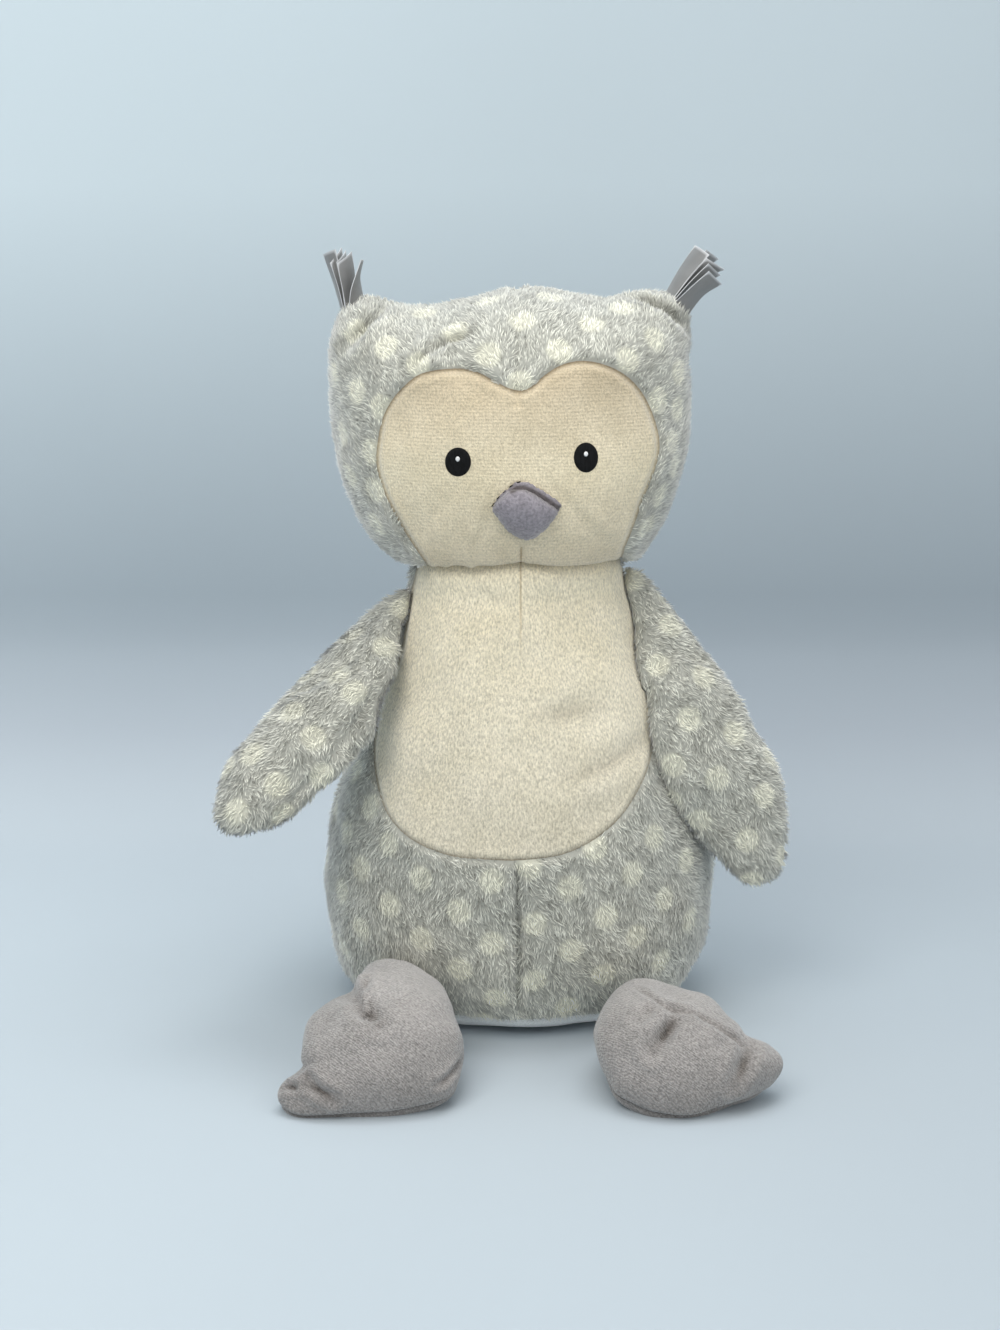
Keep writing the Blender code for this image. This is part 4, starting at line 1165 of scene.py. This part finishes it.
# Each limb's middle, its long axis, and its thin axis toward the front
frames = {}
limbs = {f"{side}_{kind}": form for kind, forms in (("wing", wings), ("foot", feet)) for side, form in forms.items()}
for name, form in limbs.items():
    node = points_of(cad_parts[f"{name}_stuffing"].data)
    middle = node.mean(axis=0)
    _, _, axes = np.linalg.svd(node - middle, full_matrices=False)
    thin = axes[2] * (-1 if axes[2][1] > 0 else 1)
    frames[name] = (middle, axes[0], thin)
    back = FOOT_SEAM_BACK if name.endswith("foot") else 0
    press(form, np.abs((points_of(form.data) - middle) @ thin + back), 0.0009, 0.0012)

for form in (body, *feet.values()):
    points = points_of(form.data)
    points[:, 2] = np.maximum(points[:, 2], 0.0)
    set_points(form.data, points)
for form in wings.values():
    keep_clear(form, body, LIMB_GAP)
    keep_clear(form, head, WING_HEAD_GAP)
for side, form in feet.items():
    keep_clear(form, body, LIMB_GAP, FOOT_PIVOTS[side], FOOT_BACK_SWING)


def furred(m, sign, facing, loop):
    """Which places lie in one quarter, and outside the front's panel of velour."""
    quarter = (m[:, 0] * sign > 0) & (m[:, 1] * facing > 0)
    return quarter & ~((m[:, 1] < 0) & inside(loop, m[:, 0], m[:, 2]))


# The covers, cut into their pieces
body_cover = cover_of(body)
head_cover = cover_of(head)
belly_region = prism("belly_region", belly_loop, -WIDE, 0)
face_region = prism("face_region", face_loop, -WIDE, 0)
below_neck = block("below_neck", (-WIDE, -WIDE, BASE_SEAM_HEIGHT), (WIDE, WIDE, SHOULDER_HEIGHT))
under_chin = block("under_chin", (-WIDE, -WIDE, BASE_SEAM_HEIGHT), (WIDE, WIDE, CHIN_HEIGHT))
base_region = block("base_region", (-WIDE, -WIDE, -WIDE), (WIDE, WIDE, BASE_SEAM_HEIGHT))
belly_cover = cut_piece("belly_velour", body_cover, [(belly_region, "INTERSECT"), (under_chin, "INTERSECT")])
mark_crease_shade(belly_cover, body_folds, lambda points: loop_distance(points, belly_loop))
dress(belly_cover, "cream_velour", "torso", ["belly_panel"])
base_cover = cut_piece("base_cloth", body_cover, [(base_region, "INTERSECT")])
dress(base_cover, "pale_base_cloth", "torso", ["base_panel"])
body_dots = dots_on(body, BODY_DOTS, (0, 0))
head_dots = dots_on(head, HEAD_DOTS, (-0.003, 0))
for side, sign in SIDES:
    for place, facing in (("front", -1), ("back", 1)):
        ends_x, ends_y = sorted((0, sign * WIDE)), sorted((0, facing * WIDE))
        quarter = block("quarter", (ends_x[0], ends_y[0], -WIDE), (ends_x[1], ends_y[1], WIDE))
        for part, rides, cover, steps, hole, dots, folds in (
            ("body", "torso", body_cover, [(below_neck, "INTERSECT")], belly_region, body_dots, body_folds),
            ("head", "head", head_cover, [], face_region, head_dots, head_folds),
        ):
            steps = [(quarter, "INTERSECT"), *steps]
            if place == "front":
                steps.append((hole, "DIFFERENCE"))
            piece = cut_piece(f"{part}_{place}_{side}_plush", cover, steps)
            dress_plush(piece, rides, dots, folds, f"{part}_{place}_{side}_panel")
        discard(quarter)

        def on_body(m, sign=sign, facing=facing):
            within = (m[:, 2] > BASE_SEAM_HEIGHT + 0.0015) & (m[:, 2] < PILE_TOP)
            return within & furred(m, sign, facing, belly_loop)

        def on_head(m, sign=sign, facing=facing):
            clear = np.linalg.norm(m - NECK_POINT, axis=1) > NECK_RADIUS + 0.003
            return clear & furred(m, sign, facing, face_loop)

        seed = 20 + 10 * sign + 3 * facing
        nap = (0.35, 0.1 * facing, -1)
        pile(f"body_{place}_{side}_pile", body, on_body, nap, "torso", body_dots, body_folds, seed)
        nap = (0.35 * sign, 0.6, -facing)
        name = f"head_{place}_{side}_pile"
        pile(name, head, on_head, nap, "head", head_dots, head_folds, seed + 40, HEAD_PILE, 0.0003)

face_cover = cut_piece("face_velour", head_cover, [(face_region, "INTERSECT")])
mark_crease_shade(face_cover, head_folds, lambda points: loop_distance(points, face_loop))
dress(face_cover, "beige_velour", "head", ["face_panel"])


def half_space(place, way):
    """A large block with one face through a place, lying on the side that way points to."""
    turn = Vector((0, 0, 1)).rotation_difference(Vector(way)).to_matrix().to_4x4()
    move = Matrix.Translation(Vector(place) + Vector(way) * WIDE)
    return primitive(bpy.ops.mesh.primitive_cube_add, move @ turn, size=2 * WIDE)


def filling_of(name, form, body, nodes):
    """Fibre inside the cover, with few faces because nothing shows it."""
    inner = link(name, form.data.copy())
    few = inner.modifiers.new("Few", "DECIMATE")
    few.ratio = 0.10
    even = inner.modifiers.new("Even", "SMOOTH")
    even.iterations = 12
    apply_modifiers(inner)
    tree, outside = tree_of(inner.data), tree_of(form.data)
    room = COVER + 0.0006
    points = points_of(inner.data)
    for index, (point, normal) in enumerate(zip(points.copy(), normals_of(inner.data))):
        way = Vector(-normal)
        _, _, _, thickness = tree.ray_cast(Vector(point) + 0.0002 * way, way, 0.02)
        points[index] = point - min(COVER + 0.0030, 0.45 * (thickness or 0.02)) * normal
        place, facing, _, _ = outside.find_nearest(Vector(points[index]))
        if (Vector(points[index]) - place).dot(facing) > -room:
            points[index] = place - room * facing
    set_points(inner.data, points)
    if name == "body_filling":
        cut = block("cut", (-WIDE, -WIDE, -WIDE), (WIDE, WIDE, FILLING_TOP))
        trimmed = cut_piece("trimmed", inner, [(cut, "INTERSECT")])
        inner.data = trimmed.data
        discard(trimmed, cut)
    inner.data.shade_smooth()
    dress(inner, "white_fibre", body, nodes)


for side, pixels in (("left", LEFT_WING_DOTS), ("right", RIGHT_WING_DOTS)):
    form = wings[side]
    middle, along, thin = frames[f"{side}_wing"]
    along = along * (-1 if along[2] > 0 else 1)
    nap = tuple(along + 0.3 * RIGHT)
    root = WING_PIVOTS[side]
    joint = ("torso", f"{side}_wing", root, tuple(float(at) for at in root + WING_BEND * along))
    dots = dots_on(form, pixels, middle)
    cover = cover_of(form)
    for face, sign in (("front", 1), ("back", -1)):
        cut = half_space(middle, sign * thin)
        piece = cut_piece(f"{side}_wing_{face}_plush", cover, [(cut, "INTERSECT")])
        discard(cut)
        dress_plush(piece, joint, dots, wing_folds[side], f"{side}_wing_{face}_panel")

        def on_face(m, middle=middle, thin=thin, sign=sign):
            return (m - middle) @ thin * sign > 0

        name = f"{side}_wing_{face}_pile"
        pile(name, form, on_face, nap, joint, dots, wing_folds[side], 90 + 5 * sign)
    discard(cover)
    filling_of(f"{side}_wing_filling", form, joint, [f"{side}_wing_stuffing"])

for side, _ in SIDES:
    middle, _, thin = frames[f"{side}_foot"]
    middle = middle - FOOT_SEAM_BACK * thin
    cover = cover_of(feet[side])
    for face, sign in (("sole", 1), ("back", -1)):
        cut = half_space(middle, sign * thin)
        piece = cut_piece(f"{side}_foot_{face}_velour", cover, [(cut, "INTERSECT")])
        discard(cut)
        mark_crease_shade(piece, foot_folds[side], lambda points, m=middle, t=thin: np.abs((points - m) @ t) + 0.0005)
        dress(piece, "mauve_velour", f"{side}_foot", [f"{side}_foot_{face}_panel"])
    discard(cover)
    filling_of(f"{side}_foot_filling", feet[side], f"{side}_foot", [f"{side}_foot_stuffing"])

filling_of("body_filling", body, "torso", ["body_stuffing", "pellet_bag", "pellet_fill"])
filling_of("head_filling", head, "head", ["head_stuffing"])

# A dome about the pivot takes the same space however far the head turns
neck_region = block("neck_region", (-WIDE, -WIDE, NECK_BOTTOM), (WIDE, WIDE, WIDE))
at_neck = Matrix.Translation(Vector(NECK_POINT))
ball = primitive(bpy.ops.mesh.primitive_uv_sphere_add, at_neck, segments=64, ring_count=32, radius=NECK_DOME)
neck = cut_piece("neck_cover", ball, [(neck_region, "INTERSECT")])
discard(ball)
store(neck.data, "dot", dot_share(points_of(neck.data), body_dots))
dress(neck, "dotted_grey_plush", "neck", ["neck_stuffing"])


def thread_disc(name, tree, centre, reach, raised, slot, node, rings=10, around=48):
    """Embroidery on a surface: an oval where the picture shows it, raised over its padding."""
    shape = bmesh.new()
    middle = seen_on(tree, [centre])[0]
    levels = []
    for ring in range(1, rings + 1):
        share = ring / rings
        pixels = [
            (centre[0] + share * reach[0] * math.cos(turn), centre[1] + share * reach[1] * math.sin(turn))
            for turn in np.linspace(0, 2 * math.pi, around, endpoint=False)
        ]
        levels.append((share, seen_on(tree, pixels)))
    toward = EYE_POINT - middle
    toward /= np.linalg.norm(toward)
    top = shape.verts.new(middle + raised * toward)
    before = None
    for share, points in levels:
        height = raised * max(0.0, 1 - share**4) ** 0.5 + 0.00005
        ring = [shape.verts.new(point + height * toward) for point in points]
        for index in range(around):
            after = (index + 1) % around
            if before is None:
                shape.faces.new((top, ring[index], ring[after]))
            else:
                shape.faces.new((before[index], ring[index], ring[after], before[after]))
        before = ring
    under = [shape.verts.new(point - 0.0008 * toward) for point in levels[-1][1]]
    for index in range(around):
        after = (index + 1) % around
        shape.faces.new((before[index], under[index], under[after], before[after]))
    shape.faces.new(under[::-1])
    bmesh.ops.recalc_face_normals(shape, faces=shape.faces)
    made = object_of(name, shape)
    made.data.shade_smooth()
    dress(made, slot, "head", [node])


for side, (place, reach, glint) in EYES.items():
    thread_disc(f"{side}_eye_thread", head_tree, place, reach, 0.0007, "black_thread", f"{side}_eye")
    thread_disc(
        f"{side}_eye_glint", head_tree, glint, (2.6, 3.0), 0.0013, "white_thread", f"{side}_eye_highlight", 4, 12
    )
for name, outline, thick, nodes in (
    ("beak_top_felt", BEAK_OUTLINE, 0.0035, ["beak_upper_panel"]),
    ("beak_front_felt", BEAK_FOLD_OUTLINE, 0.0085, ["beak_lower_panel", "beak_stuffing"]),
):
    piece = raised_on(name, head_tree, outline, thick)
    soften(piece, 1, 3)
    piece.data.shade_smooth()
    pixels, depth = project(points_of(piece.data))
    # Painted shade in the gap under the beak's top felt and along its stitched upper left edge
    away = distance_to_path(pixels, smooth_path(BEAK_GAP, 4)) * depth / FOCAL_PIXELS
    edge = distance_to_path(pixels, np.array(BEAK_SIDE)) * depth / FOCAL_PIXELS
    dark = 1.3 * np.exp(-((away / 0.0010) ** 2)) + 0.7 * np.exp(-((edge / 0.0007) ** 2))
    store(piece.data, "crease_shade", np.minimum(dark, 1.3))
    dress(piece, "mauve_felt", "head", nodes)


def stitches(name, tree, dashes, raised, slot):
    """Short threads lying on a surface, each a bent spindle."""
    whole = bmesh.new()
    for dash in dashes:
        ends = seen_on(tree, dash)
        if len(ends) < 2:
            continue
        toward = EYE_POINT - ends[0]
        toward /= np.linalg.norm(toward)
        along = ends[1] - ends[0]
        aside = np.cross(along / np.linalg.norm(along), toward)
        rings = []
        for share in np.linspace(0, 1, 7):
            round_off = math.sqrt(max(0.02, 1 - (2 * share - 1) ** 4))
            place = ends[0] + share * along + raised * round_off * toward
            turns = np.linspace(0, 2 * math.pi, 8, endpoint=False)
            ring = [place + THREAD_RADIUS * round_off * (math.cos(t) * aside + math.sin(t) * toward) for t in turns]
            rings.append([whole.verts.new(point) for point in ring])
        for low, high in zip(rings[:-1], rings[1:]):
            for at in range(8):
                whole.faces.new((low[at], low[(at + 1) % 8], high[(at + 1) % 8], high[at]))
        whole.faces.new(rings[0])
        whole.faces.new(rings[-1])
    bmesh.ops.recalc_face_normals(whole, faces=whole.faces)
    made = object_of(name, whole)
    made.data.shade_smooth()
    dress(made, slot, "head")


stitches("beak_stitches", head_tree, BEAK_STITCHES, 0.0012, "black_thread")


def along_path(path, count):
    """Points evenly spaced on a rounded line."""
    fine = smooth_path(path, 12)
    run = np.concatenate(([0], np.cumsum(np.linalg.norm(np.diff(fine, axis=0), axis=1))))
    at = np.linspace(0, run[-1], count)
    return np.stack([np.interp(at, run, fine[:, k]) for k in range(fine.shape[1])], axis=1)


def ribbon(name, left, right, left_behind, right_behind, body, node):
    """A satin strip between two edges in the picture, cupped a little, with its cut end at the tip."""
    columns, rows = 9, 19
    _, depth = project(np.array([[0, 0, 0.295]]))
    sides = [along_path(path, rows) for path in (left, right)]
    aside = np.linalg.norm(sides[1] - sides[0], axis=1) * depth[0] / FOCAL_PIXELS
    wide = RIBBON_WIDE * np.linspace(0.80, 1.0, rows)
    turned = np.sqrt(np.maximum(0, wide**2 - aside**2)) / 2
    behind = np.linspace(left_behind, right_behind, 2).mean(axis=0)
    level = depth[0] + np.linspace(behind[0], behind[1], rows)
    away = 1 if right_behind[1] > left_behind[1] else -1
    edges = [unproject(sides[0], level - away * turned), unproject(sides[1], level + away * turned)]
    grid = np.empty((rows, columns, 3))
    for column, share in enumerate(np.linspace(0, 1, columns)):
        grid[:, column] = edges[0] * (1 - share) + edges[1] * share
    span = edges[1] - edges[0]
    run = np.gradient(edges[0] + edges[1], axis=0)
    out = np.cross(span, run)
    out /= np.maximum(np.linalg.norm(out, axis=1, keepdims=True), 1e-9)
    cup = 0.0007 * np.sin(np.linspace(0, math.pi, columns)) * np.ones((rows, 1))
    grid += cup[..., None] * out[:, None, :]
    shape = bmesh.new()
    verts = [shape.verts.new(point) for point in grid.reshape(-1, 3)]
    for row in range(rows - 1):
        for column in range(columns - 1):
            at = row * columns + column
            shape.faces.new((verts[at], verts[at + 1], verts[at + columns + 1], verts[at + columns]))
    made = object_of(name, shape)
    across = np.abs(np.linspace(-1, 1, columns))[None, :] * np.ones((rows, 1))
    ends = np.linspace(0, 1, rows)[:, None] * np.ones((1, columns))
    store(made.data, "edge", np.maximum(across, ends).ravel())
    solid = made.modifiers.new("Cloth", "SOLIDIFY")
    solid.thickness = RIBBON_THICK
    solid.offset = 0
    divide = made.modifiers.new("Round", "SUBSURF")
    divide.subdivision_type = "SIMPLE"
    divide.levels = divide.render_levels = 1
    apply_modifiers(made)
    only(made)
    bpy.ops.object.shade_smooth_by_angle(angle=math.radians(40))
    dress(made, "grey_satin", body, [node])


for side, strips in (("left", LEFT_TUFT), ("right", RIGHT_TUFT)):
    for number, strip in enumerate(strips, 1):
        ribbon(f"{side}_satin_{number}", *strip, f"{side}_tuft", f"{side}_tuft_ribbon_{number}")

discard(body_cover, head_cover, belly_region, face_region, below_neck, under_chin, base_region, neck_region)
discard(body, head, *wings.values(), *feet.values())

# Floor, backdrop, light and camera
# Painted light and shade on the paper, by height above the floor
PAINTED_PAPER_LIGHT = [
    (0.0, (0.53, 0.595, 0.64)), (0.12, (0.44, 0.495, 0.545)), (0.30, (0.37, 0.43, 0.475)), (0.85, (0.60, 0.69, 0.735)),
]


def paper_finish():
    """Pale blue paper with painted light and shade, lighter on the floor and to the upper left, and clear from behind
    so that it hides nothing.
    """
    made, tree, surface = nodes_for("pale_blue_paper")
    side = between(tree, axis_of(tree, "X"), -0.3, 0.3)
    shade = ramp(tree, side, [(0.0, WHITE), (1.0, (0.80, 0.80, 0.805))])
    cloud = ramp(tree, noise(tree, 4, 1), [(0.3, (0.97, 0.97, 0.97)), (0.7, WHITE)])
    colour = times(tree, times(tree, by_height(tree, 0.0, 0.40, PAINTED_PAPER_LIGHT), shade), cloud)
    wire(tree, surface, {"Base Color": colour, "Roughness": 0.9, "Specular IOR Level": 0.1})
    behind = shader(tree, "NewGeometry", {})["Backfacing"]
    clear = shader(tree, "BsdfTransparent", {})[0]
    sided = shader(tree, "MixShader", {0: behind, 1: surface.outputs[0], 2: clear})[0]
    tree.links.new(sided, tree.nodes["Material Output"].inputs["Surface"])
    return made


shape = bmesh.new()
profile = [(-2.5, 0.0), (0.12, 0.0), (0.20, 0.008), (0.25, 0.035), (0.28, 0.08), (0.295, 0.15), (0.30, 3.0)]
rows = [[shape.verts.new((x, y, z)) for x in (-3, 3)] for y, z in profile]
for low, high in zip(rows[:-1], rows[1:]):
    shape.faces.new((low[0], low[1], high[1], high[0]))
sweep = object_of("sweep", shape)
divide = sweep.modifiers.new("Round", "SUBSURF")
divide.levels = divide.render_levels = 4
sweep.data.shade_smooth()
sweep.data.materials.append(paper_finish())


def lamp(name, place, target, size, power, colour):
    data = bpy.data.lights.new(name, "AREA")
    data.size = size
    data.energy = power
    data.color = colour
    made = link(name, data)
    made.location = place
    made.rotation_euler = (Vector(target) - Vector(place)).to_track_quat("-Z", "Y").to_euler()


lamp("key", (-0.50, -1.0, 1.4), (0, 0, 0.12), 1.0, 14, (1.0, 0.985, 0.95))
lamp("fill", (1.2, -1.1, 0.7), (0, 0, 0.12), 1.4, 6.5, (1.0, 0.99, 0.96))
lamp("top", (0.1, 0.1, 1.5), (0, 0, 0.2), 1.0, 13, (0.98, 0.99, 1.0))
world = bpy.data.worlds.new("studio")
world.use_nodes = True
sky = world.node_tree.nodes["Background"].inputs
sky["Color"].default_value = (0.95, 0.97, 1.0, 1)
sky["Strength"].default_value = 0.51
bpy.context.scene.world = world

camera = bpy.data.cameras.new("camera")
camera.sensor_fit = "HORIZONTAL"
camera.sensor_width = 36
camera.lens = camera.sensor_width * FOCAL_PIXELS / PICTURE_WIDE
viewer = link("camera", camera)
viewer.location = EYE_POINT
viewer.rotation_euler = (math.pi / 2 - PITCH, 0, 0)
bpy.context.scene.camera = viewer
bpy.context.scene.view_settings.view_transform = "Standard"
